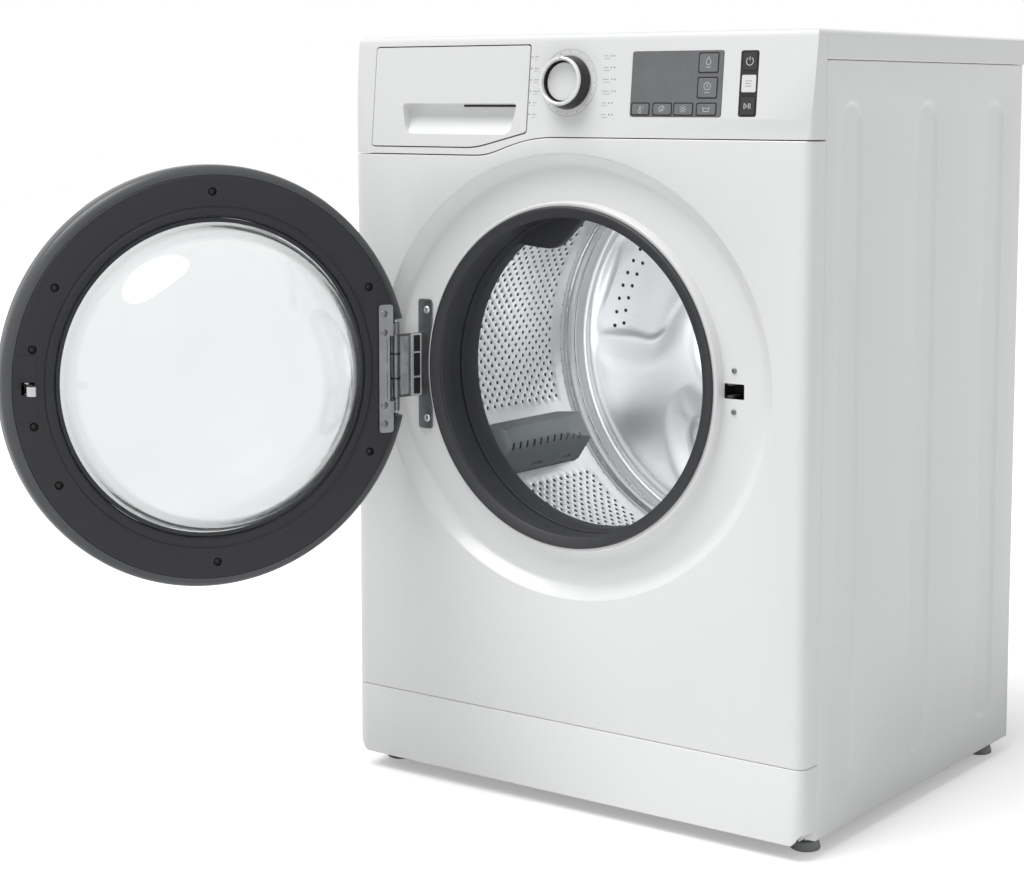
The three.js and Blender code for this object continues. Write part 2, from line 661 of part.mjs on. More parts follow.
function gasket() {
  const ring = turned([
    [186, -250.4], [186, -253], [183.5, -254.6], [176, -254.6], [173.2, -253.2],
    [173.6, -251], [176.8, -247], [177, -228], [175.4, -207], [175, -203], [172.4, -200.6],
    [171.4, -198], [171.4, -181.5], [172.6, -181.5], [172.6, -188], [176.1, -188],
    [176.1, -204.6], [180.5, -204.6], [180.5, -193], [184, -193], [184, -205],
    [180.6, -210], [180.2, -228], [181, -245], [184, -248], [184, -250.4],
  ]);
  return join(ring, spout());
}

function tubFront() {
  const { inner, outer, flange, front: face, joint } = TUB;
  return turned([
    [176.5, -204], [180, -204], [180, face], [outer - 8, face], [outer, face + 8],
    [outer, joint - 6], [flange, joint - 6], [flange, joint], [inner, joint],
    [inner, face + 10], [inner - 6, face + 4], [176.5, face + 4],
  ]);
}

function tubRear() {
  const { inner, outer, flange, joint, back } = TUB;
  const start = joint + GAP;
  const shell = turned([
    [inner, start], [flange, start], [flange, start + 6], [outer, start + 6],
    [outer, back - 8], [outer - 8, back], [44, back], [40, 186], [31, 186],
    [31, back - 8], [36, back - 6], [inner - 6, back - 6], [inner, back - 12],
  ]);
  const ribs = [0, 60, 120, 180, 240, 300].map((angle) =>
    rolled(box(42, 236, back - 1, back + 12, AXIS_Z - 2.5, AXIS_Z + 2.5), angle));
  const lug = (x, y, z) => box(x - 8, x + 8, y - 6, y + 6, z - 10, z + 10);
  const lugs = [
    lug(-192, 75, 652), lug(192, 75, 652), lug(-176, 60, 292), lug(176, 60, 292),
  ];
  const inlet = bar(19, [-200, 10, 600], [-200, 10, 662], 16)
    .intersect(box(-240, -160, -30, 50, 480, 700));
  const bore = disc(inner - 0.5, start - 1, back - 12);
  const heaterHole = bar(4.6, [0, back - 20, 237], [0, back + 5, 237], 12);
  return join(shell, ...ribs, ...lugs, inlet.subtract(bore))
    .subtract(bar(12, [-200, 10, 560], [-200, 10, 670], 12))
    .subtract(join(moved(heaterHole, 26, 0, 0), moved(heaterHole, -26, 0, 0)))
    .subtract(disc(30.9, back - 8, 190))
    .subtract(bar(17, [0, 40, 200], [0, 40, 245], 24));
}

function drumShell() {
  const { radius, mouth, front: face, back } = DRUM;
  return turned([
    [mouth, face - 1], [mouth + 3, face - 5], [mouth + 8, face - 5.5], [radius - 14, face - 4],
    [radius - 4, face + 1], [radius, face + 12], [radius, back], [radius - SHEET, back],
    [radius - SHEET, face + 12], [radius - 5, face + 2.5], [radius - 15, face - 2],
    [mouth + 8, face - 3.8], [mouth + 4, face - 3], [mouth + 1.8, face],
  ]);
}

function drumBack() {
  const { radius, back } = DRUM;
  const edge = radius - SHEET - GAP;
  const pressing = turned([
    [edge, back], [edge, back - 14], [edge - 2, back - 14], [edge - 2, back - 8],
    [edge - 8, back - 2], [70, back - 2], [55, back - 9], [0, back - 9],
    [0, back - 7], [54, back - 7], [69, back],
  ]);
  const pads = PAD_ANGLES.map((angle) =>
    rolled(front(rectangle(160, 205, AXIS_Z - 80, AXIS_Z + 80, 18), back - 5, back - 1.5), angle));
  return join(pressing, ...pads);
}

function drumSpider() {
  const { back } = DRUM;
  const y = back + GAP;
  const arms = [0, 120, 240].map((angle) => {
    const arm = front(outline([
      [0, AXIS_Z - 26], [222, AXIS_Z - 13, 6], [222, AXIS_Z + 13, 6], [0, AXIS_Z + 26],
    ]), y, y + 11);
    return rolled(arm, angle + 37);
  });
  return join(
    ...arms, disc(38, y, y + 14, 32), disc(SHAFT, y, 214, 32),
  );
}

function lifter(angle) {
  const base = DRUM.radius - SHEET - GAP;
  const { front: start, knee, back: end, half, ridge } = LIFTER;
  const section = outline([
    [-half, -base + 2.2], [half, -base + 2.2], [ridge, -base + 47, 10], [-ridge, -base + 47, 10],
  ]);
  const length = outline([
    [start, -base], [end, -base], [end - 2, -base + 37, 6], [knee, -base + 48, 10],
    [start + 26, -base + 48, 8],
  ]);
  const bed = disc(base - 1, start - 2, end + 3);
  const block = moved(front(section, start, end), 0, 0, AXIS_Z)
    .intersect(moved(side(length, -50, 50), 0, 0, AXIS_Z))
    .intersect(bed);
  return rolled(block, 90 + angle);
}

function bearing(y0, y1, outer) {
  return turned([
    [SHAFT + GAP, y0], [outer, y0], [outer, y1], [SHAFT + GAP, y1],
  ], 32);
}

// ---- Drive, suspension and water ---------------------------------------------------------
function drumPulley() {
  const { radius, front: y0, back: y1 } = PULLEY;
  const mid = (y0 + y1) / 2;
  const rim = turned([[radius - 8, y0], [radius, y0], [radius, y1], [radius - 8, y1]]);
  const hub = disc(26, y0 - 1, y1 + 4, 32);
  const spokes = [0, 72, 144, 216, 288].map((angle) =>
    rolled(box(10, radius - 4, mid - 3, mid + 3, AXIS_Z - 9, AXIS_Z + 9), angle));
  return join(rim, hub, ...spokes).subtract(disc(SHAFT + GAP, y0 - 5, y1 + 10, 32));
}

// A belt's outline round both pulleys, at a distance from their rims.
function beltOutline(offset) {
  const big = { x: 0, z: AXIS_Z, r: PULLEY.radius + offset };
  const small = { x: MOTOR.x, z: MOTOR.z, r: MOTOR.pulley + offset };
  const span = Math.hypot(small.x - big.x, small.z - big.z);
  const line = Math.atan2(small.z - big.z, small.x - big.x);
  const tangent = Math.acos((big.r - small.r) / span);
  const shape = new THREE.Shape();
  shape.absarc(big.x, big.z, big.r, line + tangent, line - tangent + 2 * Math.PI, false);
  shape.absarc(small.x, small.z, small.r, line - tangent, line + tangent, false);
  shape.closePath();
  return shape;
}

function driveBelt() {
  const { front: y0, back: y1 } = PULLEY;
  const loop = (offset, grow) =>
    solid(
      new THREE.ExtrudeGeometry(beltOutline(offset), {
        depth: y1 - y0 + 2 * grow, bevelEnabled: false, curveSegments: 20,
      })
        .rotateX(Math.PI / 2)
        .translate(0, y1 + grow, 0),
    );
  return loop(3.4, 0).subtract(loop(0.6, 2));
}

function motor() {
  const { x, z, radius, front: y0, back: y1 } = MOTOR;
  const lugs = [30, 150].map((y) => box(x - 34, x + 10, y - 8, y + 8, z + 40, 238));
  const room = disc(TUB.outer + GAP, y0 - 20, y1 + 20);
  return join(turned([
    [0, y0], [radius - 8, y0], [radius, y0 + 8], [radius, y1 - 8], [radius - 8, y1],
    [7, y1], [7, y1 - 24], [0, y1 - 24],
  ], 28, x, z), ...lugs).subtract(room);
}

function motorPulley() {
  const { x, z, pulley, back } = MOTOR;
  return join(
    disc(pulley, PULLEY.front - 1, PULLEY.back + 1, 28, x, z),
    disc(6.4, back - 22, PULLEY.front, 20, x, z),
  );
}

function counterweight() {
  const block = front(outline([
    [-36, 690, 10], [216, 690, 20], [216, 770, 12], [190, 798, 12], [-36, 798, 20],
  ]), -110, 56);
  return block.subtract(disc(TUB.flange + GAP, -120, 120));
}

function spring(s) {
  const low = [s * 205, 75, 676];
  const high = [s * 258, 75, 776];
  return join(
    bar(11, low, high, 20),
    bar(2.5, [s * 198.5, 75, 665.5], low, 10),
    bar(2.5, high, [s * 267.5, 75, 794], 10),
  );
}

function damper(s) {
  const foot = [s * 228, 60, 26];
  const middle = [s * 204, 60, 150];
  return join(
    bar(13, foot, middle, 20),
    bar(5, middle, [s * 181, 60, 270], 14),
    bar(9, [s * 181, 55, 271], [s * 181, 65, 271], 14),
  );
}

function heater() {
  const z = 237;
  const legs = [-26, 26].map((x) => bar(4, [x, -60, z], [x, TUB.back + 6, z], 12));
  return join(
    ...legs,
    bar(4, [-29, -60, z], [29, -60, z], 12),
    box(-38, 38, TUB.back + 2, TUB.back + 7, z - 12, z + 8),
  );
}

function drainPump() {
  const z = 66;
  const path = new THREE.CatmullRomCurve3([
    [0, 40, 230], [0, 40, 200], [0, 20, 120], [40, -30, z + 14], [90, -100, z],
    [150, -150, z],
  ].map((point) => new THREE.Vector3(...point)));
  const section = new THREE.Shape();
  section.absarc(0, 0, 15, 0, 2 * Math.PI, false);
  const hose = new THREE.ExtrudeGeometry(section, {
    steps: 14, curveSegments: 5, extrudePath: path,
  });
  return join(
    solid(hose),
    disc(30, -212, -120, 28, 170, z),
    disc(24, -121, -60, 28, 170, z),
    disc(20, -216, -211, 12, 170, z),
  );
}

function inletValve() {
  return join(
    disc(16, BACK - 30, BACK + 4, 20, 225, 770),
    disc(13, BACK + 3, BACK + 20, 20, 225, 770),
    box(205, 245, BACK - 60, BACK - 25, 752, 788),
  );
}

// ---- Assembly ----------------------------------------------------------------------------
add(machine, "worktop", worktop(), white);
add(machine, "control_fascia", controlFascia(), whitePlastic);
add(machine, "front_panel", frontPanel(), white);
add(machine, "kick_plate", kickPlate(), whitePlastic);
add(machine, "side_panel_left", sidePanel(-1), white);
add(machine, "side_panel_right", sidePanel(1), white);
add(machine, "rear_panel", rearPanel(), darkSteel);
add(machine, "base_frame", baseFrame(), greyPlastic);
for (const [name, x, y] of footCentres()) add(machine, name, foot(x, y), greyPlastic);

add(machine, "drawer_front", drawerFront(), whitePlastic);
add(machine, "drawer_tray", drawerTray(), tubPlastic);
add(machine, "dispenser_housing", dispenserHousing(), tubPlastic);

add(fascia, "display_window", displayWindow(), windowPlastic);
OPTION_KEYS.forEach((place, i) => add(fascia, `option_key_${i + 1}`, key(place, 0.9), greyPlastic));
for (const [name, place] of Object.entries(STRIP_KEYS)) {
  add(fascia, name, key(place, 0.2), name === "option_button" ? whitePlastic : darkPlastic);
}
add(fascia, "knob_body", knobBody(), blackPlastic);
add(fascia, "knob_ring", knobRing(), steel);
add(fascia, "control_board", controlBoard(), circuit);

add(closedDoor, "door_inner_ring", doorInnerRing(), darkPlastic);
add(closedDoor, "door_outer_ring", doorOuterRing(), darkPlastic);
add(closedDoor, "door_glass", doorGlass(), glass);
add(closedDoor, "door_cover", doorCover(), windowPlastic);
add(closedDoor, "door_hinge_plate", doorHingePlate(), steel);
add(closedDoor, "hinge_pin", hingePin(), steel);
add(closedDoor, "latch_hook", latchHook(), steel);
add(machine, "hinge_bracket", hingeBracket(), darkSteel);
add(machine, "door_lock", doorLock(), blackPlastic);

add(machine, "gasket", gasket(), rubber);
add(machine, "tub_front", tubFront(), tubPlastic);
add(machine, "tub_rear", tubRear(), tubPlastic);
add(machine, "drum_shell", drumShell(), steel);
add(machine, "drum_back", drumBack(), steel);
add(machine, "drum_spider", drumSpider(), aluminium);
LIFTER_ANGLES.forEach((angle, i) => add(machine, `lifter_${i + 1}`, lifter(angle), greyPlastic));
add(machine, "bearing_front", bearing(150, 164, 30.5), darkSteel);
add(machine, "bearing_rear", bearing(170, 184, 30.5), darkSteel);
add(machine, "drum_pulley", drumPulley(), aluminium);
add(machine, "drive_belt", driveBelt(), rubber);
add(machine, "motor", motor(), darkSteel);
add(machine, "motor_pulley", motorPulley(), steel);
add(machine, "counterweight", counterweight(), concrete);
add(machine, "spring_left", spring(-1), darkSteel);
add(machine, "spring_right", spring(1), darkSteel);
add(machine, "damper_left", damper(-1), greyPlastic);
add(machine, "damper_right", damper(1), greyPlastic);
add(machine, "heater", heater(), copper);
add(machine, "drain_pump", drainPump(), tubPlastic);
add(machine, "inlet_valve", inletValve(), whitePlastic);

// The origin is the middle of the whole object's footprint, with the door open.
machine.updateMatrixWorld(true);
const middle = new THREE.Box3().setFromObject(machine, true).getCenter(new THREE.Vector3());
machine.position.set(-middle.x, -middle.y, 0);
const scene = new THREE.Group();
scene.add(machine);

export default scene;
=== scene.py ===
"""A front load washing machine with its round door open: its looks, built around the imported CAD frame.

Shapes are drawn in millimetres in the cabinet's own frame, as in the CAD: x from the middle, y with the front
panel at FRONT, z up from the floor. CABINET, FASCIA and DOOR place them in the row frame, in metres.
"""

import math

import bmesh
import bpy
from mathutils import Matrix, Vector


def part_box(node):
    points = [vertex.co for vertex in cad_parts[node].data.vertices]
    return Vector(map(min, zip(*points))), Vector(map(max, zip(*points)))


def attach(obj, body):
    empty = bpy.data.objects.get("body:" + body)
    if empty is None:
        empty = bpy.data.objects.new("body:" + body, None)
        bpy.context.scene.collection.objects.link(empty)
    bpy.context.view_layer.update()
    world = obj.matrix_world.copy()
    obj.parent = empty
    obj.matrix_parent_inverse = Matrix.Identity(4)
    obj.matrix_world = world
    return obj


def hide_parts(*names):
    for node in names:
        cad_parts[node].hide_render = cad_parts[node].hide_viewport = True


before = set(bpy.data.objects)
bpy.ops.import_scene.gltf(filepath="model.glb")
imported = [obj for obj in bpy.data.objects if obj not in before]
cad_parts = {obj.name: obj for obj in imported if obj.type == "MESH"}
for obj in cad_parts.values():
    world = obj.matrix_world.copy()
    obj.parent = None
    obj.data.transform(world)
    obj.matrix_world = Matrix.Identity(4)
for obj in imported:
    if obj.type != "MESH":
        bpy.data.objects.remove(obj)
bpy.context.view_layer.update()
scene = bpy.context.scene
scene.view_settings.view_transform = "Standard"

# ---- Driving dimensions, in millimetres ----------------------------------------------------
WIDTH = 595
HEIGHT = 850
HALF = WIDTH / 2
FRONT = -252
BACK = 252
SEAM = FRONT + 30
CORNER = 22
SHEET = 1.5
WALL = 2.5
GAP = 0.4
LID_BOTTOM = 819.5
LID_OVERHANG = 25
PANEL_BOTTOM = 17
KICK_TOP = 98
WAIST = 739.5
WAIST_LEFT = 719
LEAN = math.radians(5.5)
AXIS_Z = 480
RECESS_FLOOR = FRONT + 15
COLLAR = 190.5
DRUM = {"radius": 237, "mouth": 174, "front": -180, "back": 131}
LIFTER_ANGLES = (90, 210, 330)
DOOR_FACE = 219
DOOR_RADIUS = 230
DOOR_WINDOW = 173.5
DOOR_INNER_Y = FRONT - 4
DOOR_OPEN = math.radians(118)
HINGE = Vector((-218, -275, 0))
LATCH_X = 203
LOCK_SCREW_RISES = (-21.5, 21.5)
DRAWER = {"left": -270, "right": -53.5, "bottom": 727, "top": 838, "thick": 16}
KNOB = {"x": -1, "z": 78.7, "radius": 29, "rim": 26.4, "bore": 22, "height": 17, "sink": 7}
ROUND = 192

MM = 0.001
TOUCH = 0.01  # a point this near to a plane is on it
panel_low, panel_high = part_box("front_panel")
MIDDLE = (panel_low.x + panel_high.x) / 2
CABINET = Matrix.Translation((MIDDLE, panel_low.y - FRONT * MM, 0)) @ Matrix.Scale(MM, 4)
FASCIA = CABINET @ Matrix.Translation((0, FRONT, WAIST_LEFT)) @ Matrix.Rotation(-LEAN, 4, "X")
DOOR = CABINET @ Matrix.Translation(HINGE) @ Matrix.Rotation(-DOOR_OPEN, 4, "Z")
DOOR = DOOR @ Matrix.Translation(-HINGE)


# ---- Materials -----------------------------------------------------------------------------
def add_node(tree, kind, **values):
    """A shader node, with its inputs set by name."""
    node = tree.nodes.new("ShaderNode" + kind)
    for name, value in values.items():
        node.inputs[name.replace("_", " ")].default_value = value
    return node


def material(name, color, rough, metal=0.0, patch=5.0, shift=0.03, grain=900.0, bump=0.05,
             stretch=(1, 1, 1), gloss_shift=0.06, **sockets):
    """A surface with slow colour and gloss changes at one scale, and a fine grain at another."""
    made = bpy.data.materials.new(name)
    made.use_nodes = True
    tree = made.node_tree
    link = tree.links.new
    shader = tree.nodes["Principled BSDF"]
    for socket, value in {"Metallic": metal, **sockets}.items():
        shader.inputs[socket.replace("_", " ")].default_value = value
    scale = add_node(tree, "Mapping", Scale=stretch)
    link(add_node(tree, "TexCoord").outputs["Object"], scale.inputs["Vector"])
    broad = add_node(tree, "TexNoise", Scale=patch, Detail=3)
    link(scale.outputs["Vector"], broad.inputs["Vector"])
    tint = add_node(tree, "ValToRGB")
    tint.color_ramp.elements[0].position = 0.3
    tint.color_ramp.elements[1].position = 0.7
    for element, factor in zip(tint.color_ramp.elements, (1 - shift, 1 + shift)):
        element.color = (*(min(channel * factor, 1) for channel in color), 1)
    link(broad.outputs["Fac"], tint.inputs["Fac"])
    link(tint.outputs["Color"], shader.inputs["Base Color"])
    fine = add_node(tree, "TexNoise", Scale=grain, Detail=2)
    link(scale.outputs["Vector"], fine.inputs["Vector"])
    gloss = add_node(tree, "MapRange", To_Min=max(rough - gloss_shift, 0), To_Max=rough + gloss_shift)
    link(fine.outputs["Fac"], gloss.inputs["Value"])
    link(gloss.outputs["Result"], shader.inputs["Roughness"])
    relief = add_node(tree, "Bump", Strength=bump, Distance=1 / grain)
    link(fine.outputs["Fac"], relief.inputs["Height"])
    link(relief.outputs["Normal"], shader.inputs["Normal"])
    return made


def galvanised(name, color, rough, spread=0.12):
    """Zinc coated steel, with the spangle that the coating sets in."""
    made = material(name, color, rough, metal=1.0, patch=60, shift=0.06, grain=500, bump=0.05)
    tree = made.node_tree
    cells = add_node(tree, "TexVoronoi", Scale=110)
    coords = next(node for node in tree.nodes if node.type == "MAPPING")
    tree.links.new(coords.outputs["Vector"], cells.inputs["Vector"])
    spangle = add_node(tree, "MapRange", To_Min=rough - spread, To_Max=rough + spread)
    tree.links.new(cells.outputs["Color"], spangle.inputs["Value"])
    shader = tree.nodes["Principled BSDF"]
    tree.links.new(spangle.outputs["Result"], shader.inputs["Roughness"])
    return made


enamel = material("enamel", (0.835, 0.84, 0.835), 0.3, patch=3, shift=0.012, grain=260, bump=0.025,
                  Coat_Weight=0.35, Coat_Roughness=0.12)
white_plastic = material("white_plastic", (0.84, 0.845, 0.84), 0.38, patch=4, shift=0.012,
                         grain=1500, bump=0.06)
cap_plastic = material("cap_plastic", (0.83, 0.835, 0.83), 0.3, patch=20, shift=0.015, grain=1500)
pale_plastic = material("pale_plastic", (0.62, 0.64, 0.62), 0.5, patch=9, grain=1100, bump=0.1)
door_plastic = material("door_plastic", (0.017, 0.0175, 0.022), 0.45, patch=7, shift=0.12,
                        grain=1300, bump=0.12)
door_side = material("door_side", (0.075, 0.078, 0.084), 0.34, patch=7, shift=0.08, grain=1300,
                     bump=0.06)
black_plastic = material("black_plastic", (0.012, 0.012, 0.013), 0.35, patch=12, shift=0.2,
                         grain=1400, bump=0.08)
rubber = material("rubber", (0.030, 0.031, 0.036), 0.5, patch=11, shift=0.14, grain=700, bump=0.1)
lifter_plastic = material("lifter_plastic", (0.30, 0.33, 0.33), 0.42, patch=15, shift=0.06,
                          grain=1000, bump=0.1)
grey_plastic = material("grey_plastic", (0.17, 0.18, 0.18), 0.6, patch=30, shift=0.08, grain=900,
                        bump=0.15)
display_plastic = material("display_plastic", (0.130, 0.134, 0.140), 0.28, patch=25, shift=0.1,
                           grain=1600, bump=0.02, Coat_Weight=0.6, Coat_Roughness=0.06)
key_plastic = material("key_plastic", (0.16, 0.165, 0.17), 0.34, patch=40, shift=0.08, grain=1600,
                       Coat_Weight=0.3, Coat_Roughness=0.2)
dark_key = material("dark_key", (0.03, 0.031, 0.033), 0.35, patch=40, shift=0.15, grain=1600)
silver = material("silver", (0.80, 0.81, 0.82), 0.24, metal=0.75, patch=30, shift=0.03, grain=1800,
                  bump=0.03)
print_grey = material("print_grey", (0.36, 0.37, 0.38), 0.6, patch=60, shift=0.1, grain=1800)
print_white = material("print_white", (0.62, 0.63, 0.64), 0.5, patch=60, shift=0.05, grain=1800)
stainless = material("stainless", (0.68, 0.695, 0.705), 0.26, metal=1.0, patch=9, shift=0.03,
                     grain=160, bump=0.006, stretch=(1, 5, 1), gloss_shift=0.03)
satin_steel = material("satin_steel", (0.86, 0.87, 0.875), 0.42, metal=0.8, patch=9, shift=0.02,
                       grain=160, bump=0.004, gloss_shift=0.03)
foot_plastic = material("foot_plastic", (0.27, 0.275, 0.28), 0.55, patch=30, shift=0.06,
                        grain=900, bump=0.1)
bright_steel = material("bright_steel", (0.60, 0.605, 0.61), 0.26, metal=1.0, patch=50, shift=0.06,
                        grain=1400, bump=0.05, stretch=(1, 1, 6))
plain_steel = material("plain_steel", (0.24, 0.245, 0.255), 0.36, metal=1.0, patch=45, shift=0.12,
                       grain=900, bump=0.08)
hinge_steel = material("hinge_steel", (0.31, 0.315, 0.33), 0.4, metal=1.0, patch=45, shift=0.1,
                       grain=900, bump=0.06)
zinc = galvanised("zinc", (0.56, 0.575, 0.585), 0.42)
aluminium = material("aluminium", (0.52, 0.53, 0.54), 0.5, metal=1.0, patch=40, shift=0.1,
                     grain=700, bump=0.3)
copper = material("copper", (0.60, 0.31, 0.17), 0.32, metal=1.0, patch=60, shift=0.12, grain=1200)
concrete = material("concrete", (0.36, 0.35, 0.33), 0.9, patch=25, shift=0.2, grain=260, bump=0.5)
circuit = material("circuit", (0.03, 0.12, 0.06), 0.45, patch=160, shift=0.35, grain=1200)
clear = material("clear", (0.93, 0.945, 0.945), 0.03, patch=6, shift=0.01, grain=60, bump=0.004,
                 gloss_shift=0.015, Transmission_Weight=1.0, IOR=1.45)
# Painted shade: a near-black that stands in for the shade inside holes, slots and creases.
painted_shade = material("painted_shade", (0.02, 0.021, 0.023), 0.7, patch=60, shift=0.2, grain=900)


# ---- Shapes --------------------------------------------------------------------------------
def raw_mesh(points, faces, edges=()):
    mesh = bpy.data.meshes.new("shape")
    mesh.from_pydata([tuple(point) for point in points], list(edges), faces)
    return mesh


def mesh_from(points, faces, edges=(), rim=None, normal=None):
    """A clean mesh, its faces turned one way. Open edges whose points are on the rim are filled."""
    mesh = raw_mesh(points, faces, edges)
    bm = bmesh.new()
    bm.from_mesh(mesh)
    bmesh.ops.remove_doubles(bm, verts=bm.verts, dist=1e-4)
    if rim:
        loose = [edge for edge in bm.edges
                 if len(edge.link_faces) < 2 and all(rim(v.co) for v in edge.verts)]
        bmesh.ops.triangle_fill(bm, edges=loose, use_beauty=True, normal=normal)
    bmesh.ops.recalc_face_normals(bm, faces=bm.faces)
    bm.to_mesh(mesh)
    bm.free()
    return mesh


def band(low, high, count):
    """The faces between two closed rows of points, which start at low and high."""
    return [(low + i, low + (i + 1) % count, high + (i + 1) % count, high + i)
            for i in range(count)]


def bands(first, rows, count):
    """The faces between rows of count points that follow one another."""
    return [face for k in range(rows - 1)
            for face in band(first + k * count, first + (k + 1) * count, count)]


def arc(start, end, steps):
    """Angles in radians, evenly spaced from start to end, which are in degrees."""
    return [math.radians(start + (end - start) * k / steps) for k in range(steps + 1)]


def turns(sides):
    """Angles in radians, evenly spaced all the way round."""
    return arc(0, 360, sides)[:-1]


def around(x, z, radius, angle):
    """The point at an angle from the right, round a centre."""
    return x + radius * math.cos(angle), z + radius * math.sin(angle)


def rounded(corners, radius=0.0, steps=6):
    """A closed outline whose corners (x, y) or (x, y, radius) are rounded."""
    curve = []
    for i, corner in enumerate(corners):
        here = Vector(corner[:2])
        before = Vector(corners[i - 1][:2]) - here
        after = Vector(corners[(i + 1) % len(corners)][:2]) - here
        size = corner[2] if len(corner) > 2 else radius
        size = min(size, before.length * 0.499, after.length * 0.499)
        if size <= 0:
            curve.append((here.x, here.y))
            continue
        start = here + before.normalized() * size
        end = here + after.normalized() * size
        for k in range(steps + 1):
            t = k / steps
            point = start * (1 - t) ** 2 + here * 2 * t * (1 - t) + end * t * t
            curve.append((point.x, point.y))
    return curve


def rectangle(x0, x1, z0, z1, radius=0.0):
    return rounded([(x0, z0), (x1, z0), (x1, z1), (x0, z1)], radius)


def circle(x, z, radius, sides=48):
    return [around(x, z, radius, a) for a in turns(sides)]


def lathe(profile, sides=ROUND, x=0.0, z=AXIS_Z):
    """A closed [radius, y] outline turned about an axis along Y."""
    count = len(profile)
    points = [(x + r * math.cos(a), y, z + r * math.sin(a)) for a in turns(sides)
              for r, y in profile]
    faces = [face for i in range(sides)
             for face in band(i * count, (i + 1) % sides * count, count)]
    return mesh_from(points, faces)


AXES = {
    "plan": lambda u, v, w: (u, v, w),
    "front": lambda u, v, w: (u, w, v),
    "side": lambda u, v, w: (w, u, v),
}


def prism(outline, low, high, facing):
    """An outline seen in plan (x, y), from the front (x, z) or from the side (y, z), made thick."""
    count = len(outline)
    points = [AXES[facing](u, v, w) for w in (low, high) for u, v in outline]
    ends = [tuple(range(count)), tuple(range(count, 2 * count))]
    return mesh_from(points, ends + band(0, count, count))


def bar(start, end, half):
    """The outline of a straight bar between two points in a plane, half its width given."""
    across = (end - start).orthogonal().normalized() * half
    return [tuple(p) for p in (start + across, start - across, end - across, end + across)]


def block(x0, x1, y0, y1, z0, z1):
    return prism(rectangle(x0, x1, y0, y1), z0, z1, "plan")


def rod(radius, start, end, sides=32):
    """A round bar between two points."""
    start = Vector(start)
    run = Vector(end) - start
    across = run.orthogonal().normalized() * radius
    other = run.normalized().cross(across)
    points = [base + across * math.cos(a) + other * math.sin(a)
              for base in (start, start + run) for a in turns(sides)]
    ends = [tuple(range(sides)), tuple(range(sides, 2 * sides))]
    return mesh_from(points, ends + band(0, sides, sides))


def tube(path, radius, sides=12):
    """A round tube along a path of points."""
    points = []
    count = len(path)
    across = None
    for i, here in enumerate(path):
        run = (path[min(i + 1, count - 1)] - path[max(i - 1, 0)]).normalized()
        across = (across - run * across.dot(run)).normalized() if across else run.orthogonal()
        across.normalize()
        other = run.cross(across)
        points += [here + across * (radius * math.cos(a)) + other * (radius * math.sin(a))
                   for a in turns(sides)]
    ends = [tuple(range(sides)), tuple(range((count - 1) * sides, count * sides))]
    return mesh_from(points, ends + bands(0, count, sides))


def evaluated(obj):
    """The object's mesh with its modifiers applied. The object itself goes."""
    bpy.context.view_layer.update()
    graph = bpy.context.evaluated_depsgraph_get()
    mesh = bpy.data.meshes.new_from_object(obj.evaluated_get(graph))
    bpy.data.objects.remove(obj)
    return mesh


def held(data, name="work"):
    """A new object in the scene that holds a mesh, a light or a camera."""
    obj = bpy.data.objects.new(name, data)
    scene.collection.objects.link(obj)
    return obj


def boolean(kind, base, *tools):
    """base joined with, cut by or kept inside each tool: UNION, DIFFERENCE or INTERSECT."""
    work = held(base)
    helpers = [held(tool, "tool") for tool in tools]
    for helper in helpers:
        step = work.modifiers.new("step", "BOOLEAN")
        step.operation = kind
        step.solver = "EXACT"
        step.object = helper
    mesh = evaluated(work)
    for helper in helpers:
        bpy.data.objects.remove(helper)
    return mesh


def cut(base, *tools):
    return boolean("DIFFERENCE", base, *tools)


def common(base, *tools):
    return boolean("INTERSECT", base, *tools)


def union(base, *tools):
    return boolean("UNION", base, *tools)


def together(*parts):
    """Separate shapes as one mesh."""
    bm = bmesh.new()
    for part in parts:
        bm.from_mesh(part)
    mesh = bpy.data.meshes.new("shape")
    bm.to_mesh(mesh)
    bm.free()
    return mesh


def placed(mesh, matrix):
    """A moved copy."""
    copy = mesh.copy()
    copy.transform(matrix)
    return copy


def rolled(mesh, degrees):
    """A copy turned about the porthole axis."""
    centre = Vector((0, 0, AXIS_Z))
    turn = Matrix.Rotation(-math.radians(degrees), 4, "Y")
    return placed(mesh, Matrix.Translation(centre) @ turn @ Matrix.Translation(-centre))


def solid(mesh, thickness, even):
    """A sheet made thick behind its faces; even keeps the thickness at its folds."""
    work = held(mesh)
    step = work.modifiers.new("thickness", "SOLIDIFY")
    step.thickness = thickness
    step.offset = -1
    step.use_even_offset = even
    return evaluated(work)


def thickened(mesh, thickness, towards):
    """A sheet whose outer face looks towards a direction, made thick behind that face."""
    facing = sum((face.normal * face.area for face in mesh.polygons), Vector()).dot(Vector(towards))
    if facing < 0:
        mesh.flip_normals()
    return solid(mesh, thickness, True)


def soften(obj, width, degrees, segments=3):
    """Rounded edges, their width in millimetres, where faces meet more sharply than an angle."""
    step = obj.modifiers.new("edges", "BEVEL")
    step.width = width * MM
    step.segments = segments
    step.limit_method = "ANGLE"
    step.angle_limit = math.radians(degrees)
    step.harden_normals = True


def piece(name, mesh, place, surface, body="cabinet", stands_for=(), edge=0.0, angle=35):
    """A finished piece: placed, smoothed, its edges rounded, and riding on its body."""
    mesh = mesh.copy()
    mesh.name = name
    mesh.transform(place)
    mesh.materials.clear()
    mesh.materials.append(surface)
    mesh.shade_smooth()
    obj = held(mesh, name)
    if edge:
        soften(obj, edge, angle)
    else:
        mesh.set_sharp_from_angle(angle=math.radians(angle))
    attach(obj, body)
    if stands_for:
        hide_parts(*stands_for)
    return obj


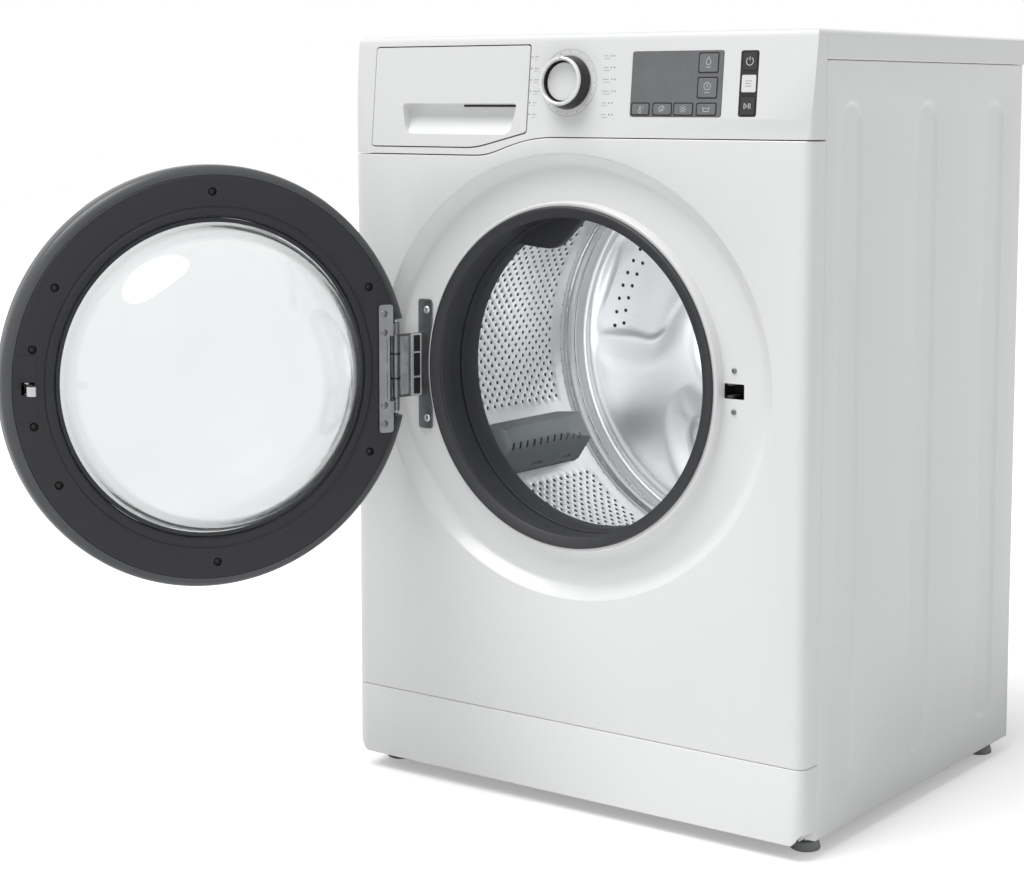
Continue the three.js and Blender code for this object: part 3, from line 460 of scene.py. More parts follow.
# ---- Cabinet -------------------------------------------------------------------------------
FOLD = 1.6  # radius of a folded sheet edge
LIP = 11  # how far a folded edge goes in
RIM = [(FOLD * (1 - math.sin(a)), FOLD * (1 - math.cos(a))) for a in arc(0, 90, 4)]
WAIST_GAP = 1.1  # between the front panel and the fascia
DRAWER_GAP = 0.9  # round the drawer's front


def ease(t):
    t = min(max(t, 0), 1)
    return t * t * (3 - 2 * t)


def waist(x):
    """The height of the line between the front panel and the fascia, an S curve between levels."""
    left, right = -122, -15
    pull_left, pull_right = -88, -75
    if x <= left:
        return WAIST_LEFT
    if x >= right:
        return WAIST
    low, high = 0.0, 1.0
    for _ in range(30):
        t = (low + high) / 2
        reach = (left * (1 - t) ** 3 + 3 * pull_left * t * (1 - t) ** 2
                 + 3 * pull_right * t * t * (1 - t) + right * t ** 3)
        low, high = (t, high) if reach < x else (low, t)
    rise = 3 * t * t * (1 - t) * (WAIST - 1 - WAIST_LEFT) + t ** 3 * (WAIST - WAIST_LEFT)
    return WAIST_LEFT + rise


def wrap_outline(inset, back=SEAM, steps=14):
    """The plan of a front piece that wraps both upright corners, inset from the outside."""
    corner = CORNER - inset
    return rounded([(-HALF + inset, back), (-HALF + inset, FRONT + inset, corner),
                    (HALF - inset, FRONT + inset, corner), (HALF - inset, back)], steps=steps)


def wrap_columns():
    """Points (x, y) round the front from seam to seam, close together where the waist bends."""
    path = wrap_outline(0)
    start = max(i for i, (x, y) in enumerate(path) if x < 0 and y < FRONT + 0.01) + 1
    across = [x / 2 for x in range(-250, -20, 8)]
    flat = [(x, FRONT) for x in (-240, -200, -160, *across, 40, 100, 160, 220)]
    path = path[:start] + flat + path[start:]
    inner = HALF - 14
    return [(-inner, SEAM), *path, (inner, SEAM)]


def on_front(point):
    return abs(point.y - FRONT) < TOUCH


def wrapped_sheet(top, bottom, hole=None, thickness=1.2):
    """A sheet round the front of the cabinet between two heights, with folded edges."""
    columns = [Vector(column) for column in wrap_columns()]
    count = len(columns)
    edge = [(LIP, 0), *RIM]
    points = []
    for i, column in enumerate(columns):
        run = (columns[min(i + 1, count - 1)] - columns[max(i - 1, 0)]).normalized()
        inwards = Vector((-run.y, run.x))
        high, low = top(column.x), bottom(column.x)
        heights = [(inset, low + drop) for inset, drop in edge]
        heights += [(inset, high - drop) for inset, drop in reversed(edge)]
        points += [(*(column + inwards * inset), height) for inset, height in heights]
    rows = 2 * len(edge)
    middle = rows // 2 - 1
    faces = []
    for i in range(count - 1):
        is_flat = columns[i].y == columns[i + 1].y == FRONT
        for k in range(rows - 1):
            if not (hole and is_flat and k == middle):
                low = i * rows + k
                faces.append((low, low + rows, low + rows + 1, low + 1))
    if hole:
        rings, ring_faces = hole
        faces += [tuple(len(points) + k for k in face) for face in ring_faces]
        points += rings
    forwards = (0, -1, 0)
    mesh = mesh_from(points, faces, rim=on_front if hole else None, normal=forwards)
    return thickened(mesh, thickness, forwards)


def dish():
    """The recess round the porthole, from its outer edge to the lip that holds the gasket."""
    squash = 0.945
    section = [(257.5, 0), (256.6, 0.15), (255.6, 0.7), (254.4, 1.8), (252.4, 4), (248, 8.4),
               (243.6, 12.2), (241.4, 13.6), (239, 14.5), (236, 14.9), (232, 15)]
    collar = [(COLLAR + 1.6, 15), (COLLAR + 0.6, 14.6), (COLLAR, 13.6), (COLLAR, 4),
              (COLLAR - 0.4, 2.6), (COLLAR - 1.4, 1.6), (COLLAR - 2.6, 1.4), (184.5, 2)]
    rings = [(r, r * squash, FRONT + depth) for r, depth in section]
    rings += [(r, r, FRONT + depth) for r, depth in collar]
    points = [(wide * math.cos(a), y, AXIS_Z + tall * math.sin(a)) for wide, tall, y in rings
              for a in turns(ROUND)]
    return points, bands(0, len(rings), ROUND)


def front_panel():
    sheet = wrapped_sheet(lambda x: waist(x) - WAIST_GAP, lambda x: KICK_TOP + GAP, dish(), SHEET)
    y0, y1 = RECESS_FLOOR - 5, RECESS_FLOOR + 5
    slot = prism(rectangle(LATCH_X - 12, LATCH_X + 12, AXIS_Z - 8, AXIS_Z + 8, 1.5), y0, y1, "front")
    holes = [prism(circle(LATCH_X, AXIS_Z + rise, 2.6, 24), y0, y1, "front")
             for rise in LOCK_SCREW_RISES]
    piece("front_shell", cut(sheet, slot, *holes), CABINET, enamel, stands_for=["front_panel"])


def kick_plate():
    def toes(x):
        return PANEL_BOTTOM + 12 * ease((abs(x) - (HALF - 15)) / 14)
    sheet = wrapped_sheet(lambda x: KICK_TOP, toes, thickness=2)
    piece("kick_plate_shell", sheet, CABINET, white_plastic, stands_for=["kick_plate"])


def worktop():
    back = BACK + LID_OVERHANG
    plan = rounded([(-HALF, SEAM + GAP), (HALF, SEAM + GAP), (HALF, back, 14), (-HALF, back, 14)],
                   steps=10)
    across = rounded([(-HALF, LID_BOTTOM, 1.5), (HALF, LID_BOTTOM, 1.5), (HALF, HEIGHT, 8),
                      (-HALF, HEIGHT, 8)], steps=10)
    along = rounded([(SEAM, LID_BOTTOM), (back, LID_BOTTOM, 1.5), (back, HEIGHT, 8),
                     (SEAM + GAP, HEIGHT, 0.8)], steps=10)
    lid = common(prism(plan, LID_BOTTOM, HEIGHT, "plan"), prism(across, SEAM, back, "front"),
                 prism(along, -HALF, HALF, "side"))
    piece("worktop_lid", lid, CABINET, white_plastic, stands_for=["worktop"])


GROOVES = (-167, 7, 179)
GROOVE_SECTION = [(25, 0), (24.5, 0.08), (23.8, 0.35), (22.9, 0.95), (21.7, 1.8), (20.5, 2.45),
                  (19.3, 2.82), (18, 2.97), (16.5, 3)]


def stadium(middle, radius, bottom=56, top=779, full=25, steps=20):
    """A tall slot's outline, seen from the side."""
    low, high = bottom + full, top - full
    return ([around(middle, high, radius, a) for a in arc(0, 180, steps)]
            + [around(middle, low, radius, a) for a in arc(180, 360, steps)])


def side_panel(s, name):
    """A pan with folded edges and three long pressed grooves."""
    y0, y1 = SEAM + GAP, BACK
    z0, z1 = PANEL_BOTTOM, LID_BOTTOM - GAP
    edge = [(13, 0), *RIM]
    points = [(s * (HALF - depth), y, z) for depth, inset in edge for y, z in (
        (y0 + inset, z0 + inset), (y1 - inset, z0 + inset),
        (y1 - inset, z1 - inset), (y0 + inset, z1 - inset))]
    faces = bands(0, len(edge), 4)
    for middle in GROOVES:
        first = len(points)
        for radius, depth in GROOVE_SECTION:
            points += [(s * (HALF - depth), y, z) for y, z in stadium(middle, radius)]
        count = (len(points) - first) // len(GROOVE_SECTION)
        faces += bands(first, len(GROOVE_SECTION), count)
        faces.append(tuple(range(len(points) - count, len(points))))
    outwards = (s, 0, 0)
    mesh = mesh_from(points, faces, rim=lambda point: abs(abs(point.x) - HALF) < TOUCH,
                     normal=outwards)
    piece(name + "_sheet", thickened(mesh, 1.0, outwards), CABINET, enamel, stands_for=[name])


def rear_panel():
    """The back sheet with its round bulge, and the three ports in it."""
    y = BACK + GAP
    section = [(184, 0), (182.8, 0.3), (180.5, 2), (173.5, 9), (171, 11), (168.8, 11.8), (166, 12)]
    rings = [rectangle(-HALF + 6, HALF - 6, 30, 815, 8), circle(225, 770, 17.5),
             circle(-225, 770, 11.5), circle(-225, 110, 11.5)]
    points = []
    edges = []
    for ring in rings:
        low, count = len(points), len(ring)
        points += [(x, y + SHEET, z) for x, z in ring]
        edges += [(low + i, low + (i + 1) % count) for i in range(count)]
    first = len(points)
    for radius, rise in section:
        points += [(x, y + rise + SHEET, z) for x, z in circle(0, AXIS_Z, radius, ROUND)]
    faces = bands(first, len(section), ROUND)
    faces.append(tuple(range(len(points) - ROUND, len(points))))
    backwards = (0, 1, 0)
    mesh = mesh_from(points, faces, edges, lambda point: abs(point.y - y - SHEET) < TOUCH,
                     backwards)
    piece("rear_sheet", thickened(mesh, SHEET, backwards), CABINET, zinc,
          stands_for=["rear_panel"])
    collars = [lathe([(11, y - 2), (16, y - 2), (16, y + 6.2), (15.2, y + 7), (12, y + 7),
                      (11, y + 6)], 48, -225, z) for z in (770, 110)]
    piece("rear_collars", together(*collars), CABINET, grey_plastic)


FOOT_PLACES = {
    "foot_front_left": (-HALF + 24, FRONT + 51.5),
    "foot_front_right": (HALF - 24, FRONT + 51.5),
    "foot_rear_left": (-HALF + 24, BACK - 28),
    "foot_rear_right": (HALF - 24, BACK - 28),
}


def upright(profile, x, y, sides=48):
    """A closed [radius, z] outline turned about an upright axis."""
    stand = Matrix.Translation((x, y, 0)) @ Matrix.Rotation(math.radians(90), 4, "X")
    return placed(lathe([(r, z) for r, z in profile], sides, 0, 0), stand)


def foot(name, x, y):
    pad = upright([(0, 0.6), (13, 0.6), (14.6, 0), (15.6, 0.5), (16, 1.6), (15.4, 4), (14.2, 9),
                   (13, 10), (0, 10)], x, y)
    nut = prism(circle(x, y, 9.2, 6), 10.2, 15.8, "plan")
    pitch = 1.6
    thread = [(0, 9.5)]
    for k in range(17):
        z = 16 + k * pitch
        thread += [(3.9, z), (4.65, z + pitch * 0.5)]
    stem = upright([*thread, (0, 44)], x, y, 24)
    piece(name + "_pad", pad, CABINET, foot_plastic, stands_for=[name])
    piece(name + "_nut", together(nut, stem), CABINET, zinc, edge=0.3)


def screw(radius=4.0, height=1.9):
    """A pan head with a cross recess, its top towards -Y."""
    dome = lathe([(0, 0), (radius, 0), (radius, -height * 0.35), (radius * 0.8, -height * 0.8),
                  (radius * 0.45, -height), (0, -height)], 32, 0, 0)
    arm = radius * 0.55
    thin = radius * 0.13
    bar_a = block(-arm, arm, -height - 1, -height * 0.45, -thin, thin)
    bar_b = block(-thin, thin, -height - 1, -height * 0.45, -arm, arm)
    return cut(dome, bar_a, bar_b)


def screws(name, places, place, surface, body="cabinet", turn=0.0, radius=4.0):
    """Several screws as one piece. places are (x, y, z); turn faces them from -Y about Z."""
    head = screw(radius)
    spin = Matrix.Rotation(math.radians(turn), 4, "Z")
    heads = [placed(head, Matrix.Translation(point) @ spin @ Matrix.Rotation(0.5 * k, 4, "Y"))
             for k, point in enumerate(places)]
    piece(name, together(*heads), place, surface, body)


def rear_screws():
    y = BACK + GAP + SHEET
    places = [(x, y, z) for x in (-283, 283) for z in (45, 230, 420, 610, 800)]
    places += [(x, y, z) for x in (-100, 100) for z in (40, 806)]
    screws("rear_screws", places, CABINET, bright_steel, turn=180)


def transit_caps():
    """Plugs in the four holes of the transit bolts."""
    y = BACK + GAP + SHEET
    caps = [lathe([(0, y - 1), (15, y - 1), (15, y + 1.2), (14, y + 2), (11, y + 2.2), (10, y + 1),
                   (0, y + 1)], 48, x, z) for x, z in ((-205, 660), (205, 660), (-205, 300),
                                                      (205, 300))]
    piece("transit_caps", together(*caps), CABINET, grey_plastic)


def inlet_valve():
    """The threaded port for the fill hose."""
    y0, pitch = BACK + 5, 1.8
    profile = [(0, y0 - 30), (16, y0 - 30), (16, BACK + 4), (12, BACK + 4)]
    for k in range(8):
        y = y0 + k * pitch
        profile += [(12, y), (12.9, y + pitch / 2)]
    profile += [(11.6, BACK + 19.4), (9, BACK + 20), (9, BACK + 8), (0, BACK + 8)]
    body = block(205, 245, BACK - 60, BACK - 25, 752, 788)
    piece("inlet_port", together(lathe(profile, 64, 225, 770), body), CABINET, pale_plastic,
          stands_for=["inlet_valve"])
    sieve = lathe([(0, BACK + 8.1), (8.9, BACK + 8.1), (8.9, BACK + 9.5), (6, BACK + 9.2),
                   (5.5, BACK + 11), (0, BACK + 11)], 32, 225, 770)
    piece("inlet_sieve", sieve, CABINET, zinc)


# ---- Fascia and detergent drawer -----------------------------------------------------------
def fascia_y(z, depth=0.0):
    return FRONT + (z - WAIST_LEFT) * math.tan(LEAN) + depth / math.cos(LEAN)


def drawer_outline(margin):
    left, right = DRAWER["left"], DRAWER["right"]
    bottom, top = DRAWER["bottom"], DRAWER["top"]
    return rounded([(left - margin, bottom - margin, 4), (-122 + margin / 2, bottom - margin, 14),
                    (right + margin, bottom + 17 - margin, 4), (right + margin, top + margin, 4),
                    (left - margin, top + margin, 4)], steps=8)


def on_fascia(mesh):
    lean = Matrix.Translation((0, FRONT, WAIST_LEFT)) @ Matrix.Rotation(-LEAN, 4, "X")
    return placed(mesh, lean)


STRIP_KEYS = {
    "start_button": (212, 229.4, 44.7, 63.5),
    "option_button": (212, 229.4, 67.6, 86),
    "power_button": (212, 229.4, 90, 108.6),
}
OPTION_KEYS = ((81.5, 103, 44.7, 56.7), (108, 130.4, 44.7, 56.7), (133.6, 156.2, 44.7, 56.7),
               (161.2, 184, 44.7, 56.7), (161.2, 184, 62.3, 83), (161.2, 184, 88.4, 108))
DISPLAY = (79.5, 190, 43, 110.5)
STRIP = (210, 231.3, 43, 110.5)


def control_fascia():
    def profile(inset, back):
        return rounded([(fascia_y(WAIST_LEFT, inset), WAIST_LEFT),
                        (fascia_y(HEIGHT - inset, inset), HEIGHT - inset, 12 - inset),
                        (back, HEIGHT - inset), (back, WAIST_LEFT)], steps=10)
    ends = rounded([(-HALF, WAIST_LEFT), (HALF, WAIST_LEFT), (HALF, HEIGHT, 8),
                    (-HALF, HEIGHT, 8)], steps=10)
    steps = [waist_x / 2 for waist_x in range(-250, -20, 6)]
    waistline = [(x, waist(x)) for x in (-HALF - 1, *steps, HALF + 1)]
    above = [*waistline, (HALF + 1, HEIGHT + 1), (-HALF - 1, HEIGHT + 1)]
    skin = common(prism(profile(0, SEAM), -HALF, HALF, "side"),
                  prism(wrap_outline(0), WAIST_LEFT, HEIGHT, "plan"),
                  prism(ends, FRONT, SEAM, "front"),
                  prism(above, FRONT - 1, SEAM + 1, "front"))
    hollow = common(prism(profile(WALL, SEAM + 1), -HALF + WALL, HALF - WALL, "side"),
                    prism(wrap_outline(WALL, SEAM + 1), WAIST_LEFT - 1, HEIGHT, "plan"))
    below = placed(hollow, Matrix.Translation((0, 0, -WALL)))
    x0, x1, z0, z1 = DISPLAY
    holes = [prism(rectangle(x0 - GAP, x1 + GAP, z0 - GAP, z1 + GAP, 3), -5, 10, "front"),
             prism(circle(KNOB["x"], KNOB["z"], 5.5), -5, 10, "front")]
    holes += [prism(rectangle(*place, 2), -5, 10, "front") for place in STRIP_KEYS.values()]
    holes.append(prism(rectangle(*STRIP, 3), -5, 0.9, "front"))
    mouth = prism(drawer_outline(DRAWER_GAP), FRONT - 1, SEAM + 1, "front")
    shell = cut(skin, hollow, below, mouth, *(on_fascia(hole) for hole in holes))
    piece("fascia_shell", shell, CABINET, white_plastic, stands_for=["control_fascia"], edge=0.7,
          angle=50)


def strip_trim():
    """The dark bed of the key strip, in its recess."""
    bed = prism(rectangle(STRIP[0] + 0.3, STRIP[1] - 0.3, STRIP[2] + 0.3, STRIP[3] - 0.3, 3),
                0.3, 0.85, "front")
    holes = [prism(rectangle(*place, 2), -1, 2, "front") for place in STRIP_KEYS.values()]
    piece("strip_bed", cut(bed, *holes), FASCIA, black_plastic)


def drawer_front():
    thick = DRAWER["thick"]
    slab = prism([(fascia_y(700, -0.5), 700), (fascia_y(860, -0.5), 860),
                  (fascia_y(860, thick), 860), (fascia_y(700, thick), 700)], -HALF, HALF, "side")
    mouth = rounded([(-221, 741, 12), (-75, 741, 12), (-68, 775, 5), (-228, 775, 5)], steps=10)
    scoop = prism(rounded([(fascia_y(736, -4), 736), (fascia_y(776, -4), 776),
                           (fascia_y(776, 13), 776, 3), (fascia_y(757, 12), 757, 10)], steps=8),
                  -HALF, 0, "side")
    face = common(prism(drawer_outline(-GAP), FRONT - 5, SEAM + 20, "front"), slab)
    face = cut(face, common(prism(mouth, FRONT - 5, SEAM + 20, "front"), scoop))
    piece("drawer_face", face, CABINET, white_plastic, "drawer", ["drawer_front"], edge=0.8,
          angle=40)


def drawer_fittings():
    """A dark strip painted as the shadow under the handle's top edge, the siphon cover over the softener
    well, and the level flap.
    """
    # Painted shadow: a dark strip on the scoop's back, just under its top edge, where the deep scoop lies in
    # shade.
    slot = prism([(fascia_y(z, depth), z) for z, depth in (
        (771.2, 12.3), (773.6, 12.2), (773.6, 13.4), (771.2, 13.4))], -150, -78, "side")
    piece("handle_painted_shadow", slot, CABINET, painted_shade, "drawer")
    cover = together(
        prism(rounded([(-124, -190), (-72, -190), (-72, -120), (-124, -120)], 6), 797.5, 799.6,
              "plan"),
        rod(9, (-98, -155, 799.5), (-98, -155, 800.9), 40))
    piece("siphon_cover", cover, CABINET, cap_plastic, "drawer", edge=0.4)
    flap = block(-251, -200, -60, -58, 746, 786)
    piece("level_flap", flap, CABINET, pale_plastic, "drawer", edge=0.5)


# ---- Marks: flat strokes that stand a hair proud of what they are on -----------------------
PRINT = 0.12


def stroke(x0, z0, x1, z1, width=0.7, y=-PRINT):
    """A straight printed line with square ends, seen from the front."""
    return prism(bar(Vector((x0, z0)), Vector((x1, z1)), width / 2), y, y + PRINT, "front")


def strokes(x, z, y, width, *lines):
    """Printed lines (x0, z0, x1, z1), measured from the middle of a mark."""
    return [stroke(x + x0, z + z0, x + x1, z + z1, width, y) for x0, z0, x1, z1 in lines]


def ring_mark(x, z, radius, width=0.7, start=0, end=360, y=-PRINT, steps=28):
    """A printed ring, or a part of one, by angles in degrees from the right."""
    outer, inner = ([around(x, z, r, a) for a in arc(start, end, steps)]
                    for r in (radius, radius - width))
    parts = [prism([outer[k], outer[k + 1], inner[k + 1], inner[k]], y, y + PRINT, "front")
             for k in range(steps)]
    return together(*parts)


def dot_mark(x, z, radius=0.8, y=-PRINT):
    return prism(circle(x, z, radius, 20), y, y + PRINT, "front")


def thermometer(x, z, y):
    return [stroke(x, z - 1, x, z + 3.4, 1, y), ring_mark(x, z - 2.2, 1.9, 0.6, y=y),
            *strokes(x, z, y, 0.5, (2.4, 2.6, 4, 2.6), (2.4, 0.8, 4, 0.8))]


def spiral(x, z, y):
    return [ring_mark(x, z, 3.6, 0.6, 20, 250, y), ring_mark(x, z, 2.1, 0.6, 200, 430, y),
            dot_mark(x, z, 0.6, y)]


def sun(x, z, y):
    rays = [stroke(*around(x, z, 2.6, a), *around(x, z, 3.9, a), 0.6, y) for a in turns(8)]
    return [ring_mark(x, z, 1.9, 0.6, y=y), *rays]


def tub_mark(x, z, y):
    sides = strokes(x, z, y, 0.6, (-4, 2.6, -3, -2.4), (4, 2.6, 3, -2.4), (-3.2, -2.4, 3.2, -2.4))
    return [*sides, stroke(x - 3.6, z + 0.9, x + 3.6, z + 0.9, 0.5, y)]


def clock(x, z, y):
    return [ring_mark(x, z, 4.2, 0.6, y=y),
            *strokes(x, z, y, 0.6, (0, 0, 0, 2.7), (0, 0, 1.9, -0.9), (-3, -6.4, 3, -6.4))]


def drop(x, z, y):
    return [ring_mark(x, z - 0.8, 3.1, 0.6, 140, 400, y),
            *strokes(x, z, y, 0.6, (-2.4, 1, 0, 4.6), (2.4, 1, 0, 4.6), (-3, -6, 3, -6))]


def power(x, z, y):
    return [ring_mark(x, z, 4.4, 0.8, 120, 420, y), stroke(x, z + 0.8, x, z + 5, 0.8, y)]


def play_pause(x, z, y):
    tall, tip = 2.8, -0.6
    return [*strokes(x, z, y, 0.7, (-3.8, -tall, -3.8, tall), (-3.8, tall, tip, 0),
                     (-3.8, -tall, tip, 0)),
            *strokes(x, z, y, 0.8, (1.2, -tall, 1.2, tall), (3.2, -tall, 3.2, tall))]


def lines(x, z, y):
    return strokes(x, z, y, 0.7, (-4, 2.6, 4, 2.6), (-4, 0, 2.4, 0), (-4, -2.6, 3.4, -2.6))


def key(name, place, proud, surface, mark, ink, shift=0.0):
    """A key with a softly rounded rim and its stem, and the mark on its face."""
    x0, x1, z0, z1 = place
    x, z = (x0 + x1) / 2, (z0 + z1) / 2
    cap = prism(rectangle(x0 + GAP, x1 - GAP, z0 + GAP, z1 - GAP, 2), -proud, 5, "front")
    stem = block(x - 2, x + 2, 5, 17, z - 2, z + 2)
    piece(name + "_cap", together(cap, stem), FASCIA, surface, name + "_body", [name], edge=0.45)
    sign = together(*mark(x, z + shift, -proud - PRINT))
    piece(name + "_mark", sign, FASCIA, ink, name + "_body")


def keys():
    signs = (thermometer, spiral, sun, tub_mark, clock, drop)
    for k, (place, sign) in enumerate(zip(OPTION_KEYS, signs)):
        key(f"option_key_{k + 1}", place, 0.9, key_plastic, sign, print_white,
            1.5 if k > 3 else 0)
    for (name, place), sign in zip(STRIP_KEYS.items(), (play_pause, lines, power)):
        if name == "option_button":
            key(name, place, 0.2, cap_plastic, sign, print_grey)
        else:
            key(name, place, 0.2, dark_key, sign, print_white)


def display():
    x0, x1, z0, z1 = DISPLAY
    pane = prism(rectangle(x0, x1, z0, z1, 3), -0.4, 3, "front")
    holes = [prism(rectangle(*place, 2), -2, 4, "front") for place in OPTION_KEYS]
    piece("display_pane", cut(pane, *holes), FASCIA, display_plastic,
          stands_for=["display_window"], edge=0.3)
    frames = []
    for left, right, low, high in OPTION_KEYS:
        outer = prism(rectangle(left - 0.9, right + 0.9, low - 0.9, high + 0.9, 2.6),
                      -0.4 - PRINT, -0.4, "front")
        frames.append(cut(outer, prism(rectangle(left, right, low, high, 2), -2, 1, "front")))
    piece("key_frames", together(*frames), FASCIA, black_plastic)


def knob():
    """The black skirt, its bright ring and the white disc sunk into it."""
    x, z, r, top = KNOB["x"], KNOB["z"], KNOB["radius"], -KNOB["height"]
    rim, bore, face = KNOB["rim"], KNOB["bore"], KNOB["sink"] - KNOB["height"]
    skirt = rounded([(0, face + 1), (bore - 1, face + 1), (bore, face, 0.4), (bore, top + 2, 0.3),
                     (rim, top + 2, 1), (r, -1, 0.8), (r - 3, -1), (r - 4, face + 4),
                     (8, face + 4), (8, -1), (3.5, -1), (3.5, 12), (0, 12)], steps=4)
    piece("knob_skirt", lathe(skirt, 128, x, z), FASCIA, black_plastic, "knob", ["knob_body"])
    y = top + 2 - GAP
    ring = rounded([(bore, y), (rim, y, 0.5), (rim - 0.4, y - 2.5, 1.6), (rim - 1.6, y - 3.6, 1.2),
                    (bore + 0.8, y - 3, 0.8), (bore, y - 1, 0.6)], steps=5)
    piece("knob_bezel", lathe(ring, 128, x, z), FASCIA, silver, "knob", ["knob_ring"])
    disc = rounded([(0, face + 0.6), (14, face + 0.3), (bore - 1.6, face - 0.7, 0.8),
                    (bore - 1, face + 0.9, 0.4), (0, face + 0.9)], steps=5)
    piece("knob_cap", lathe(disc, 128, x, z), FASCIA, cap_plastic, "knob")
    pointer = stroke(x, z + bore + 0.9, x, z + rim - 1.2, 0.9, y - 3.7)
    piece("knob_pointer", pointer, FASCIA, print_grey, "knob")


def dial_marks():
    """Programme marks in two columns beside the knob, drawn as small generic signs."""
    marks = []
    left, right = KNOB["x"] - 46, KNOB["x"] + 44
    for k in range(6):
        z = KNOB["z"] + 28 - 12.4 * k
        reach = 5 + (k * 5) % 4
        marks += [stroke(left, z, left + reach, z, 0.6), dot_mark(left - 4, z, 0.9)]
        marks += [stroke(left, z - 3, left + reach - 2, z - 3, 0.45)]
        marks += [stroke(right, z, right + reach, z, 0.6)]
        marks += [dot_mark(right + reach + 4, z, 0.9), dot_mark(right + reach + 8, z, 0.9)]
        marks += [stroke(right, z - 3, right + reach + 2, z - 3, 0.45)]
    marks.append(ring_mark(KNOB["x"], KNOB["z"], 36, 0.35, steps=96))
    marks += [dot_mark(*around(KNOB["x"], KNOB["z"], 33.4, a), 0.6) for a in turns(16)]
    piece("dial_marks", together(*marks), FASCIA, print_grey)


# ---- Door, drawn closed --------------------------------------------------------------------
def door_ring(points, radius=0.0, steps=5):
    """A lathed ring from [radius, depth] corners, with depth measured outwards from its inner face."""
    corners = [(p[0], DOOR_INNER_Y - p[1], *p[2:]) for p in points]
    return lathe(rounded(corners, radius, steps))


def hinge_pocket():
    return block(-240, -202, HINGE.y - 12, DOOR_INNER_Y + 2, AXIS_Z - 55, AXIS_Z + 55)


def latch_pocket():
    return block(LATCH_X - 8, LATCH_X + 8, DOOR_INNER_Y - 13.8, DOOR_INNER_Y + 2, AXIS_Z - 7,
                 AXIS_Z + 7)


DOOR_SCREW_RADIUS = 201.5
DOOR_SCREW_TURNS = [s * turn for turn in (11.6, 31.2, 90, 152.7) for s in (1, -1)]


def door_screw_places(y):
    spots = [around(0, AXIS_Z, DOOR_SCREW_RADIUS, math.radians(turn)) for turn in DOOR_SCREW_TURNS]
    return [(x, y, z) for x, z in spots]


def door_rings():
    window, face, outer = DOOR_WINDOW, DOOR_FACE, DOOR_RADIUS
    inner = door_ring([
        (window, 1.5, 0.6), (window + 2, 0, 1), (182.4, 0, 0.6), (183.2, 0.8, 0.5),
        (185.2, 0.8, 0.5), (186, 0, 0.6), (face - 1, 0, 0.8), (face, 0.8, 0.5), (face, 10),
        (window, 10)])
    cups = [lathe([(0, DOOR_INNER_Y - 3.4), (4.4, DOOR_INNER_Y - 3.4), (4.9, DOOR_INNER_Y + 1),
                   (0, DOOR_INNER_Y + 1)], 28, x, z)
            for x, _, z in door_screw_places(0)]
    inner = cut(inner, hinge_pocket(), latch_pocket(), together(*cups))
    piece("door_inner_frame", inner, DOOR, door_plastic, "door", ["door_inner_ring"], angle=30)
    back = door_ring([
        (face + GAP, 1, 0.4), (outer - 6, 2.4, 2), (outer - 1.5, 6, 3), (outer, 11, 5),
        (outer, 26, 6), (227.5, 34, 6), (219, 40.5, 6), (188.4, 45.5, 0.8), (188.4, 41),
        (216, 36.5, 3), (223, 31, 3), (225.5, 25, 3), (225.5, 14.5), (190, 14.5),
        (190, 10 + GAP), (face + GAP, 10 + GAP)])
    piece("door_outer_frame", cut(back, hinge_pocket(), latch_pocket()), DOOR, door_side, "door",
          ["door_outer_ring"], angle=40)
    screws("door_screws", door_screw_places(DOOR_INNER_Y - 3.3), DOOR, black_plastic, "door",
           turn=180, radius=3.6)


def door_windows():
    """The bowl that reaches into the drum, and the domed cover outside it."""
    bowl = door_ring([
        (188.5, 10 + GAP), (188.5, 15), (166, 15, 2), (163.5, 5, 6), (160, -11, 12),
        (144.5, -41.5, 26), (122.5, -66, 26), (96, -80.5, 14), (80, -84, 12), (0, -85),
        (0, -90), (82, -89, 12), (99, -85, 14), (126, -70, 26), (149, -44, 26), (165, -12, 12),
        (168, 3, 6), (170, 10 + GAP, 1.5)], steps=8)
    piece("door_bowl", bowl, DOOR, clear, "door", ["door_glass"], angle=60)
    cover = door_ring([
        (0, 46.5), (120, 45.7, 20), (170, 43, 10), (188, 40), (188, 44.5, 1), (168, 47.6, 12),
        (120, 49.2, 20), (0, 50)], steps=8)
    piece("door_dome", cover, DOOR, clear, "door", ["door_cover"], angle=60)
    trim = door_ring([(168.6, 2.2, 0.5), (173.2, 2.2, 0.5), (173.2, 9.6), (170.6, 9.6)])
    piece("bowl_gasket", trim, DOOR, rubber, "door")


def latch():
    """A raised plate round the latch pocket, and the sprung hook in it."""
    y = DOOR_INNER_Y
    plate = prism(rectangle(LATCH_X - 9.5, LATCH_X + 14.5, AXIS_Z - 35, AXIS_Z + 35, 3), y - 0.4,
                  y + 0.7, "front")
    mouth = prism(rectangle(LATCH_X - 7, LATCH_X + 7, AXIS_Z - 6.6, AXIS_Z + 6.6, 1), y - 2, y + 2,
                  "front")
    piece("latch_plate", cut(plate, mouth), DOOR, door_plastic, "door", edge=0.35)
    low = y - 6
    hook = prism(rounded([(LATCH_X - 2.5, low - 4), (LATCH_X + 2.5, low - 4),
                          (LATCH_X + 2.5, low + 27, 1.5), (LATCH_X + 6.5, low + 27.5, 0.8),
                          (LATCH_X + 3, low + 34, 2), (LATCH_X - 2.5, low + 34, 2)]),
                 AXIS_Z - 5, AXIS_Z + 5, "plan")
    barrel = rod(4, (LATCH_X, low, AXIS_Z - 6), (LATCH_X, low, AXIS_Z + 6))
    piece("latch_hook_steel", union(hook, barrel), DOOR, bright_steel, "latch", ["latch_hook"],
          edge=0.4)


ARM_X = -206  # where the hinge arms meet their plates
ARM_HALF = 1.5
BORE = 2.9  # radius of the holes for the hinge pin
SLEEVE_RISES = (-14, 14)


